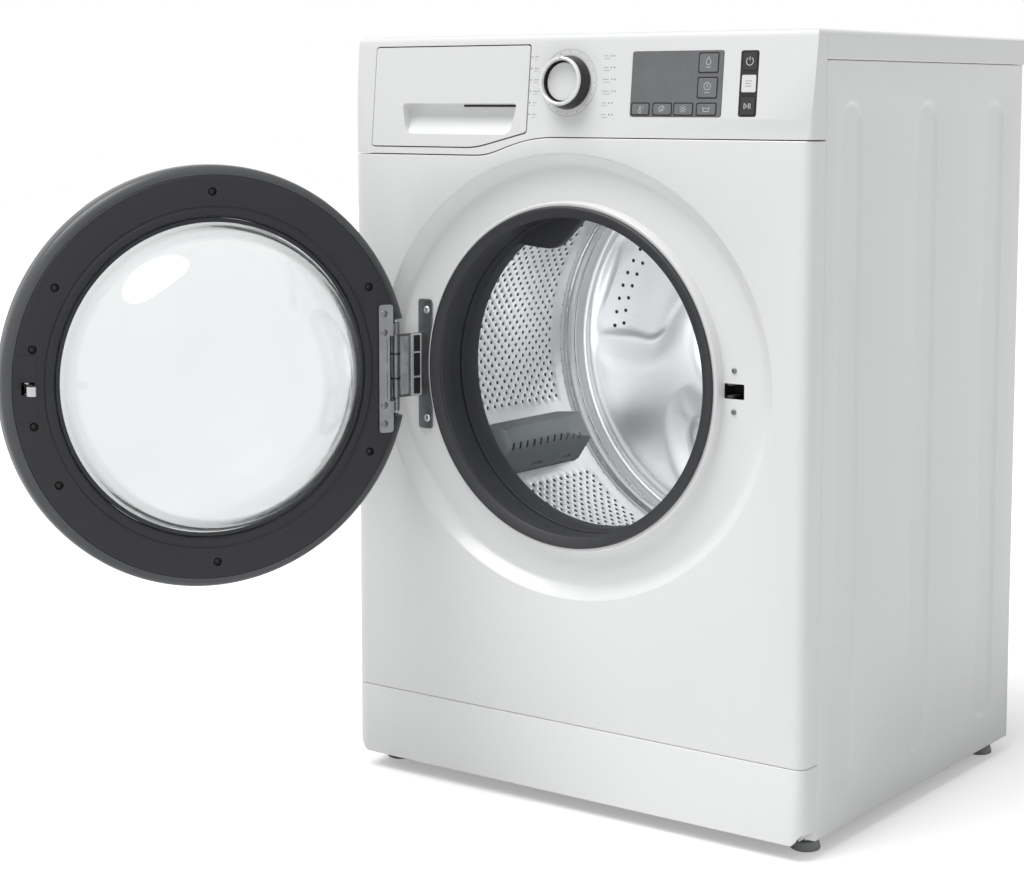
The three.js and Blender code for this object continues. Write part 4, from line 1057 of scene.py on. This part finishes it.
def hinge_arm(z0, z1, end_y):
    """A flat arm from its plate to a barrel round the pin."""
    x, y = HINGE.x, HINGE.y
    arm = prism(bar(Vector((x, y)), Vector((ARM_X, end_y)), ARM_HALF), z0, z1, "plan")
    barrel = rod(5, (x, y, z0), (x, y, z1), 48)
    return cut(union(arm, barrel), rod(BORE, (x, y, z0 - 1), (x, y, z1 + 1), 32))


def arm_part(start, end, half, z0, z1):
    """A slab along the hinge arm, between two shares of its length."""
    pin, plate = Vector(HINGE[:2]), Vector((ARM_X, RECESS_FLOOR - GAP - 1))
    outline = bar(pin.lerp(plate, start), pin.lerp(plate, end), half)
    return prism(outline, AXIS_Z + z0, AXIS_Z + z1, "plan")


def arm_cover():
    """The bright leaf and the framed pockets of the hinge arm."""
    leaf = arm_part(0.16, 0.44, 1.8, -33, 33)
    piece("hinge_arm_leaf", leaf, CABINET, zinc, edge=0.3)
    bars = [arm_part(0.52, 0.6, 3, -35.5, 35.5), arm_part(0.84, 0.88, 2.6, -35.5, 35.5)]
    bars += [arm_part(0.6, 0.84, 2.6, z - 1, z + 1) for z in (-34.5, -14, 14, 34.5)]
    piece("hinge_arm_frame", together(*bars), CABINET, silver, edge=0.3)
    cells = arm_part(0.6, 0.84, 1.8, -34, 34)
    piece("hinge_arm_pockets", cells, CABINET, black_plastic)


def pocket_lining():
    """The dark floor of the hinge pocket in the door, open where the arm swings through it."""
    left, middle, right = -221, -212, -203
    tall, open_half = 54.5, 39
    y0, y1 = HINGE.y - 11.8, HINGE.y - 11.3
    lining = together(block(middle + 0.1, right, y0, y1, AXIS_Z - tall, AXIS_Z + tall),
                      block(left, middle, y0, y1, AXIS_Z - tall, AXIS_Z - open_half),
                      block(left, middle, y0, y1, AXIS_Z + open_half, AXIS_Z + tall))
    piece("hinge_pocket_lining", lining, DOOR, black_plastic, "door")


def door_hinge_plate():
    """The door's plate with its window, its ribs and its two knuckles."""
    y = DOOR_INNER_Y + GAP
    sheet = prism(rectangle(-207, -190, AXIS_Z - 72, AXIS_Z + 72, 4), y, y + 2, "front")
    window = block(-212, -203, y - 1, y + 5, AXIS_Z - 37, AXIS_Z + 37)
    ribs = [block(-201.5, -199.5, y + 1.5, y + 3.2, AXIS_Z + s * 20 - 14, AXIS_Z + s * 20 + 14)
            for s in (-1, 1)]
    knuckles = [hinge_arm(*sorted((AXIS_Z + s * 36.6, AXIS_Z + s * 50)), y + 1) for s in (-1, 1)]
    plate = union(cut(sheet, window), *knuckles, *ribs)
    piece("door_hinge_steel", plate, DOOR, hinge_steel, "door", ["door_hinge_plate"], edge=0.3)
    places = [(-196, y + 1.9, AXIS_Z + dz) for dz in (-62, -41, 41, 62)]
    screws("door_hinge_screws", places, DOOR, plain_steel, "door", turn=180)


def hinge_bracket():
    """The cabinet's plate in the recess, and the arm that carries the door."""
    y = RECESS_FLOOR - GAP
    sheet = prism(rectangle(-213, -194, AXIS_Z - 74, AXIS_Z + 74, 4), y - 2, y, "front")
    arm = hinge_arm(AXIS_Z - 36, AXIS_Z + 36, y - 1)
    steps = [block(-230, -210.5, HINGE.y - 8, HINGE.y + 8, AXIS_Z + z - 1.2, AXIS_Z + z + 1.2)
             for z in SLEEVE_RISES]
    piece("hinge_bracket_steel", union(sheet, cut(arm, *steps)), CABINET, plain_steel,
          stands_for=["hinge_bracket"], edge=0.3)
    places = [(-200.5, y - 1.9, AXIS_Z + dz) for dz in (-62, 62)]
    screws("hinge_bracket_screws", places, CABINET, bright_steel, radius=4.2)


def hinge_pin():
    """The pin with a head at both ends, and the two sleeves that the arm turns on."""
    x, y = HINGE.x, HINGE.y
    low, high = AXIS_Z - 52.6, AXIS_Z + 52.4
    pin = upright([(0, low), (3, low), (4, low + 0.6), (4, low + 2), (2.5, low + 2.2),
                   (2.5, high - 2), (4, high - 1.8), (4, high - 0.4), (3, high), (0, high)], x, y, 32)
    piece("hinge_pin_steel", pin, DOOR, silver, "door", ["hinge_pin"])
    sleeves = [upright([(2.6, z - 1), (BORE, z - 1), (BORE, z + 1), (2.6, z + 1)], x, y, 32)
               for z in (AXIS_Z + rise for rise in SLEEVE_RISES)]
    piece("hinge_sleeves", together(*sleeves), CABINET, grey_plastic)


def lock_face():
    """The lock behind its slot: its screws, its dark case and the two rails in it."""
    y = RECESS_FLOOR
    places = [(LATCH_X, y - 0.1, AXIS_Z + rise) for rise in LOCK_SCREW_RISES]
    screws("lock_screws", places, CABINET, plain_steel, radius=2.9)
    lock_y = y + SHEET + GAP
    half, tall = 12.4, 8.4
    body = block(LATCH_X - 18, LATCH_X + 22, lock_y, lock_y + 28, AXIS_Z - 27, AXIS_Z + 27)
    room = block(LATCH_X - half, LATCH_X + half, lock_y - 1, lock_y + 22, AXIS_Z - tall,
                 AXIS_Z + tall)
    stems = [rod(2.2, (LATCH_X, y + 0.2, z), (LATCH_X, lock_y + 1, z), 20)
             for z in (AXIS_Z + rise for rise in LOCK_SCREW_RISES)]
    piece("door_lock_case", union(cut(body, room), *stems), CABINET, black_plastic,
          stands_for=["door_lock"], edge=0.5)
    rails = [block(LATCH_X - 11.5, LATCH_X - 4.5, lock_y + 3, lock_y + 21, AXIS_Z + s * 6.4 - 1.2,
                   AXIS_Z + s * 6.4 + 1.2) for s in (-1, 1)]
    piece("lock_rails", together(*rails), CABINET, grey_plastic, edge=0.3)


# ---- Gasket, drum and lifters --------------------------------------------------------------
def gasket():
    """The folded rubber ring between the recess and the tub, with the faces of the groove inside it painted
    dark as shade.
    """
    outline = [
        (186, -250.4, 0.4), (186, -253.4, 1.6), (184, -255.2, 1.4), (180.5, -254.2, 2),
        (172.8, -250.8, 1.4), (173.8, -247.5, 1.2), (177, -242, 4), (177.4, -226, 4),
        (176, -212, 2), (175.8, -210.4, 0.5), (178.6, -209.8), (178.6, -207.6),
        (174.6, -207, 0.8), (173.6, -202, 2), (171.8, -198, 2), (171.2, -190, 4),
        (171.4, -181.6, 0.6),
        (172.6, -181.6, 0.5), (172.6, -188, 0.5), (176.1, -188), (176.1, -204.6),
        (180.5, -204.6), (180.5, -193), (184, -193), (184, -205), (180.6, -210, 2),
        (180.4, -230, 4), (184, -248, 1), (184, -250.4)]
    obj = piece("gasket_rubber", lathe(rounded(outline, steps=5)), CABINET, rubber,
                stands_for=["gasket"], angle=50)
    # Painted shade: faces in the groove take the dark material, for the shade in the crease.
    obj.data.materials.append(painted_shade)
    to_cabinet = CABINET.inverted()
    for face in obj.data.polygons:
        spot = to_cabinet @ face.center
        if 176 < math.hypot(spot.x, spot.z - AXIS_Z) < 179 and -210.3 < spot.y < -207.1:
            face.material_index = 1


def spout():
    """The spray spout that hangs from the gasket's lip, left of the top."""
    root = [around(0, AXIS_Z, 174, a) for a in arc(93, 127, 12)]
    tip = rounded([root[-1], (-78, AXIS_Z + 136, 9), (-55, AXIS_Z + 134.5, 7),
                   (-43, AXIS_Z + 140.5, 5), root[0]])
    piece("gasket_spout", prism(root + tip[1:-1], -199, -189, "front"), CABINET, rubber,
          edge=1.6, angle=50)


def drain_holes():
    """Four drain holes at the bottom of the gasket's wall, drawn as thin discs painted dark as the shade
    inside them.
    """
    holes = []
    for a in map(math.radians, (-104, -96, -84, -76)):
        out = Vector((math.cos(a), 0, math.sin(a)))
        start = Vector((0, -224, AXIS_Z)) + out * 177.1
        holes.append(rod(3, start, start + out * 0.8, 24))
    piece("gasket_drains", together(*holes), CABINET, painted_shade)


SIDE_ROWS = 210
HOLE_STEP = 14.2
HOLE_RADIUS = 2.2
HOLE_DIMPLE = 0.6
BEAD = 73


def is_pierced(turn, y):
    """True where the drum's side has holes: three fields between the lifters."""
    if not -140 < y < 52:
        return False
    nearest = min(abs((turn - lift + 180) % 360 - 180) for lift in LIFTER_ANGLES)
    return nearest > 11.2


def drum_side():
    """The rolled side of the drum: staggered diamond cells, most of them with a dimpled hole."""
    radius = DRUM["radius"] - SHEET
    low, high = DRUM["front"] + 12.0, float(BEAD)
    step = 2 * math.pi / SIDE_ROWS
    rim = [around(0, 0, math.sqrt(0.5) if k % 2 else 1, a) for k, a in enumerate(turns(8))]
    points = []
    faces = []

    def on_side(turn, y, out=0.0):
        y = min(max(y, low), high)
        return ((radius + out) * math.cos(turn), y, AXIS_Z + (radius + out) * math.sin(turn))
    for row in range(SIDE_ROWS):
        middle = row * step
        for k in range(-11, 7):
            y = HOLE_STEP * (k + 0.5 * (row % 2))
            first = len(points)
            points += [on_side(middle + step * v, y + HOLE_STEP / 2 * u) for u, v in rim]
            if is_pierced(math.degrees(middle), y):
                for u, v in rim:
                    size = HOLE_RADIUS / math.hypot(u, v)
                    points.append(on_side(middle + size * v / radius, y + size * u, HOLE_DIMPLE))
                faces += band(first, first + 8, 8)
            else:
                faces.append(tuple(range(first, first + 8)))
    mesh = raw_mesh(points, faces)
    bm = bmesh.new()
    bm.from_mesh(mesh)
    bmesh.ops.remove_doubles(bm, verts=bm.verts, dist=0.01)
    bmesh.ops.dissolve_degenerate(bm, edges=bm.edges, dist=0.001)
    for face in bm.faces:
        middle = face.calc_center_median()
        if face.normal.dot(Vector((middle.x, 0, middle.z - AXIS_Z))) > 0:
            face.normal_flip()
    bm.to_mesh(mesh)
    bm.free()
    return solid(mesh, 0.9, False)


def drum():
    radius, mouth, face, back = DRUM["radius"], DRUM["mouth"], DRUM["front"], DRUM["back"]
    rim = [(mouth, face - 1, 1), (mouth + 3, face - 5, 2), (mouth + 8, face - 5.5, 2),
           (radius - 14, face - 4, 6), (radius - 4, face + 1, 4), (radius, face + 12, 3),
           (radius, face + 13), (radius - SHEET, face + 13), (radius - SHEET, face + 12, 3),
           (radius - 5, face + 2.5, 3), (radius - 15, face - 2, 5), (mouth + 8, face - 3.8, 2),
           (mouth + 4, face - 3, 1), (mouth + 1.8, face, 0.6)]
    bead = [(radius - SHEET, BEAD - 0.6), (radius - 2.2, BEAD + 1, 1), (radius - 2.8, 78, 2),
            (radius - 6.8, 82, 3), (radius - 7.4, 90, 3), (radius - 4.6, 96.5, 2),
            (radius - 4.2, 99.4, 0.4), (radius - 1.8, 99.6), (radius - 1.8, 101),
            (radius - 4.2, 101.2, 0.4), (radius - 4.2, 104, 1), (radius - SHEET, 106),
            (radius - SHEET, back), (radius, back), (radius, BEAD - 0.6)]
    parts = [lathe(rounded(rim, steps=6)), lathe(rounded(bead, steps=6)), drum_side()]
    piece("drum_wall", together(*parts), CABINET, stainless, "drum", ["drum_shell"], angle=40)


PAD_ANGLES = (35, 155, 275)
PAD_RADIUS = 182
SPIN = 0.16  # degrees that the pressing twists for each millimetre of radius


def back_height(r, turn):
    """How far the drum's back stands towards the door at a radius and an angle in degrees."""
    nearest = min(((turn - pad + 180) % 360 - 180 for pad in PAD_ANGLES), key=abs)
    off = math.radians(nearest + SPIN * (PAD_RADIUS - r))
    along, across = r * math.sin(off), r * math.cos(off) - PAD_RADIUS
    moat = ease((1 - math.hypot(along / 116, (across + 48) / 104)) / 0.42) * ease((r - 80) / 50)
    corner = math.hypot(max(abs(along) - 50, 0), max(across - 4, -60 - across, 0))
    pad = ease((27 - corner) / 11)
    spoke = ease((r - 40) / 30) * ease((231 - r) / 12)
    hub = 6 * (1 - ease((r - 46) / 26))
    return 1.5 + 10.5 * spoke * (1 - moat) + 4.6 * pad * moat + hub


def drum_back():
    """The pressed back: three twisted lobes round a raised hub, dished at its edge."""
    edge = DRUM["radius"] - SHEET - GAP
    base = DRUM["back"]
    rows, sides, bend = 84, 240, 28
    points = [(0, base - back_height(0, 0), AXIS_Z)]
    for k in range(1, rows + 1):
        r = edge * k / rows
        lip = bend - math.sqrt(bend ** 2 - max(r - edge + bend, 0) ** 2)
        for a in turns(sides):
            x, z = around(0, AXIS_Z, r, a)
            points.append((x, base - back_height(r, math.degrees(a)) - lip, z))
    middle = [(0, 1 + (i + 1) % sides, 1 + i) for i in range(sides)]
    sheet = thickened(raw_mesh(points, middle + bands(1, rows, sides)), 0.9, (0, -1, 0))
    piece("drum_back_pressing", sheet, CABINET, satin_steel, "drum", ["drum_back"], angle=60)


def back_holes():
    """Two rows of eight holes round each pad, each a small cup painted dark as the shade inside a hole, with
    a rolled rim.
    """
    cups = []
    for pad in PAD_ANGLES:
        for r in (175, 188):
            for k in range(8):
                turn = pad + 5.4 * (k - 3.5) + (1.6 if r > PAD_RADIUS else 0)
                y = DRUM["back"] - back_height(r, turn)
                cups.append(lathe([(0, y - 0.3), (2.2, y - 0.3), (2.7, y + 0.4), (0, y + 0.4)],
                                  16, *around(0, AXIS_Z, r, math.radians(turn))))
    piece("drum_back_holes", together(*cups), CABINET, painted_shade, "drum")


def lifter(k, angle):
    """A hollow-looking plastic paddle with a row of slots along its ridge and two clips."""
    base = DRUM["radius"] - SHEET - GAP
    section = rounded([(-33, -base + 2.2), (33, -base + 2.2), (12, -base + 47, 10),
                       (-12, -base + 47, 10)], steps=8)
    length = rounded([(-158, -base), (40, -base), (38, -base + 37, 6), (-31, -base + 48, 14),
                      (-132, -base + 48, 10)], steps=8)
    lift = Matrix.Translation((0, 0, AXIS_Z))
    bed = lathe([(0, -160), (base - 1, -160), (base - 1, 43), (0, 43)], 96)
    paddle = common(placed(prism(section, -158, 40, "front"), lift),
                    placed(prism(length, -50, 50, "side"), lift), bed)
    slots = []
    slot_shade_plugs = []
    outline = rounded([(-2.2, -4.6), (2.2, -4.6), (2.2, 4.6), (-2.2, 4.6)], 2.1, 5)
    turn = Matrix.Rotation(math.radians(38), 4, "Y") @ Matrix.Rotation(math.pi / 2, 4, "Z")
    for n in range(11):
        y = -128 + 13.8 * n
        drop = 11 * max(y + 31, 0) / 69
        spot = Matrix.Translation((11.6, y, AXIS_Z - base + 43.4 - drop))
        slots.append(placed(prism(outline, -9, 5, "plan"), spot @ turn))
        # Painted shade: dark plugs sunk in the slots stand for the shade inside the hollow paddle.
        slot_shade_plugs.append(placed(prism(outline, -8.5, -0.6, "plan"), spot @ turn))
    clips = [block(24, 34, y - 10, y + 10, AXIS_Z - base + 9, AXIS_Z - base + 14)
             for y in (-56, 6)]
    piece(f"lifter_{k}_paddle", rolled(cut(paddle, *slots, *clips), 90 + angle), CABINET,
          lifter_plastic, "drum", [f"lifter_{k}"], edge=0.8, angle=40)
    piece(f"lifter_{k}_slots", rolled(together(*slot_shade_plugs), 90 + angle), CABINET, painted_shade, "drum")


# ---- Suspension and the parts that stay as the CAD has them --------------------------------
def springs():
    """The two coils that the tub hangs from, each with a straight end at both hooks."""
    coils, sides, radius, y = 22, 14, 9.2, 75
    across = Vector((0, 1, 0))
    for name, s in (("spring_left", -1), ("spring_right", 1)):
        low, high = Vector((s * 205, y, 676)), Vector((s * 258, y, 776))
        run = high - low
        other = run.normalized().cross(across)
        path = [Vector((s * 198.5, y, 665.5)), low - run * 0.02]
        path += [low + run * (k / (coils * sides)) + across * (radius * math.cos(a))
                 + other * (radius * math.sin(a))
                 for k, a in enumerate(arc(0, 360 * coils, coils * sides))]
        path += [high + run * 0.02, Vector((s * 267.5, y, 794))]
        piece(name + "_coil", tube(path, 1.7, 8), CABINET, plain_steel, stands_for=[name])


CAD_SURFACES = {
    "base_frame": grey_plastic, "drawer_tray": pale_plastic, "dispenser_housing": pale_plastic,
    "control_board": circuit, "tub_front": pale_plastic, "tub_rear": pale_plastic,
    "drum_spider": aluminium, "bearing_front": plain_steel, "bearing_rear": plain_steel,
    "drum_pulley": aluminium, "drive_belt": rubber, "motor": plain_steel,
    "motor_pulley": bright_steel, "counterweight": concrete, "damper_left": grey_plastic,
    "damper_right": grey_plastic, "heater": copper, "drain_pump": pale_plastic,
}


def carried_over():
    """CAD nodes that stay: smoothed, with softened edges and their own surfaces."""
    for name, surface in CAD_SURFACES.items():
        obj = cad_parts[name]
        obj.data.materials.clear()
        obj.data.materials.append(surface)
        soften(obj, 0.6, 40, segments=2)


# ---- Floor, light and camera ---------------------------------------------------------------
def studio():
    """Pure white to look at or to mirror, and only a dimmer light on matt surfaces."""
    world = bpy.data.worlds.new("studio")
    world.use_nodes = True
    tree = world.node_tree
    link = tree.links.new
    light = tree.nodes["Background"]
    light.inputs["Color"].default_value = (0.97, 0.98, 1, 1)
    light.inputs["Strength"].default_value = 0.32
    backdrop = add_node(tree, "Background", Color=(1, 1, 1, 1), Strength=1.0)
    both = add_node(tree, "MixShader")
    link(add_node(tree, "LightPath").outputs["Is Diffuse Ray"], both.inputs["Fac"])
    link(backdrop.outputs["Background"], both.inputs[1])
    link(light.outputs["Background"], both.inputs[2])
    link(both.outputs["Shader"], tree.nodes["World Output"].inputs["Surface"])
    scene.world = world


def floor():
    """A pale round floor that looks lit by itself, but lights nothing."""
    paint = material("floor_paint", (0.93, 0.93, 0.93), 0.8, patch=1, shift=0.004, grain=300,
                     bump=0.01, Emission_Color=(0.34, 0.34, 0.34, 1))
    tree = paint.node_tree
    glow = add_node(tree, "LightPath").outputs["Is Camera Ray"]
    tree.links.new(glow, tree.nodes["Principled BSDF"].inputs["Emission Strength"])
    radius, below, sides = 14, 0.0005, 96
    disc = raw_mesh([(x, y, -below) for x, y in circle(0, 0, radius, sides)], [tuple(range(sides))])
    disc.materials.append(paint)
    held(disc, "floor")


def lamp(name, spot, aim, size, power, spread):
    """A round soft light at a spot, aimed at a point, both in metres, its beam as wide as spread."""
    data = bpy.data.lights.new(name, "AREA")
    data.energy = power
    data.shape = "DISK"
    data.size = size
    data.spread = math.radians(spread)
    obj = held(data, name)
    obj.location = spot
    obj.rotation_euler = (aim - spot).to_track_quat("-Z", "Y").to_euler()


def lights():
    """A broad light from above and in front, and two soft ones inside the drum."""
    data = bpy.data.lights.new("key", "SUN")
    data.energy = 2.5
    data.angle = math.radians(40)
    towards = Vector((0.2, 0.36, -0.91))
    held(data, "key").rotation_euler = towards.to_track_quat("-Z", "Y").to_euler()
    mouth = CABINET @ Vector((20, -205, AXIS_Z + 10))
    lamp("drum_fill", mouth, CABINET @ Vector((0, 100, AXIS_Z - 20)), 0.24, 0.15, 180)
    side = CABINET @ Vector((-120, -172, AXIS_Z + 20))
    lamp("back_fill", side, CABINET @ Vector((-10, 131, AXIS_Z - 20)), 0.14, 0.16, 120)


def camera():
    data = bpy.data.cameras.new("camera")
    data.lens = 77.4
    data.sensor_width = 36
    data.shift_y = -0.11
    obj = held(data, "camera")
    obj.location = (MIDDLE + 1.3584, panel_low.y - 1.9293, 0.7804)
    obj.rotation_euler = (math.radians(90 - 6.036), 0, math.radians(36.531))
    scene.camera = obj


camera()
studio()
floor()
lights()
front_panel()
kick_plate()
worktop()
side_panel(-1, "side_panel_left")
side_panel(1, "side_panel_right")
rear_panel()
rear_screws()
transit_caps()
inlet_valve()
for foot_name, (foot_x, foot_y) in FOOT_PLACES.items():
    foot(foot_name, foot_x, foot_y)
control_fascia()
strip_trim()
drawer_front()
drawer_fittings()
keys()
display()
knob()
dial_marks()
door_rings()
door_windows()
latch()
door_hinge_plate()
hinge_bracket()
hinge_pin()
arm_cover()
pocket_lining()
lock_face()
gasket()
spout()
drain_holes()
drum()
drum_back()
back_holes()
for lifter_number, lifter_angle in enumerate(LIFTER_ANGLES, 1):
    lifter(lifter_number, lifter_angle)
springs()
carried_over()
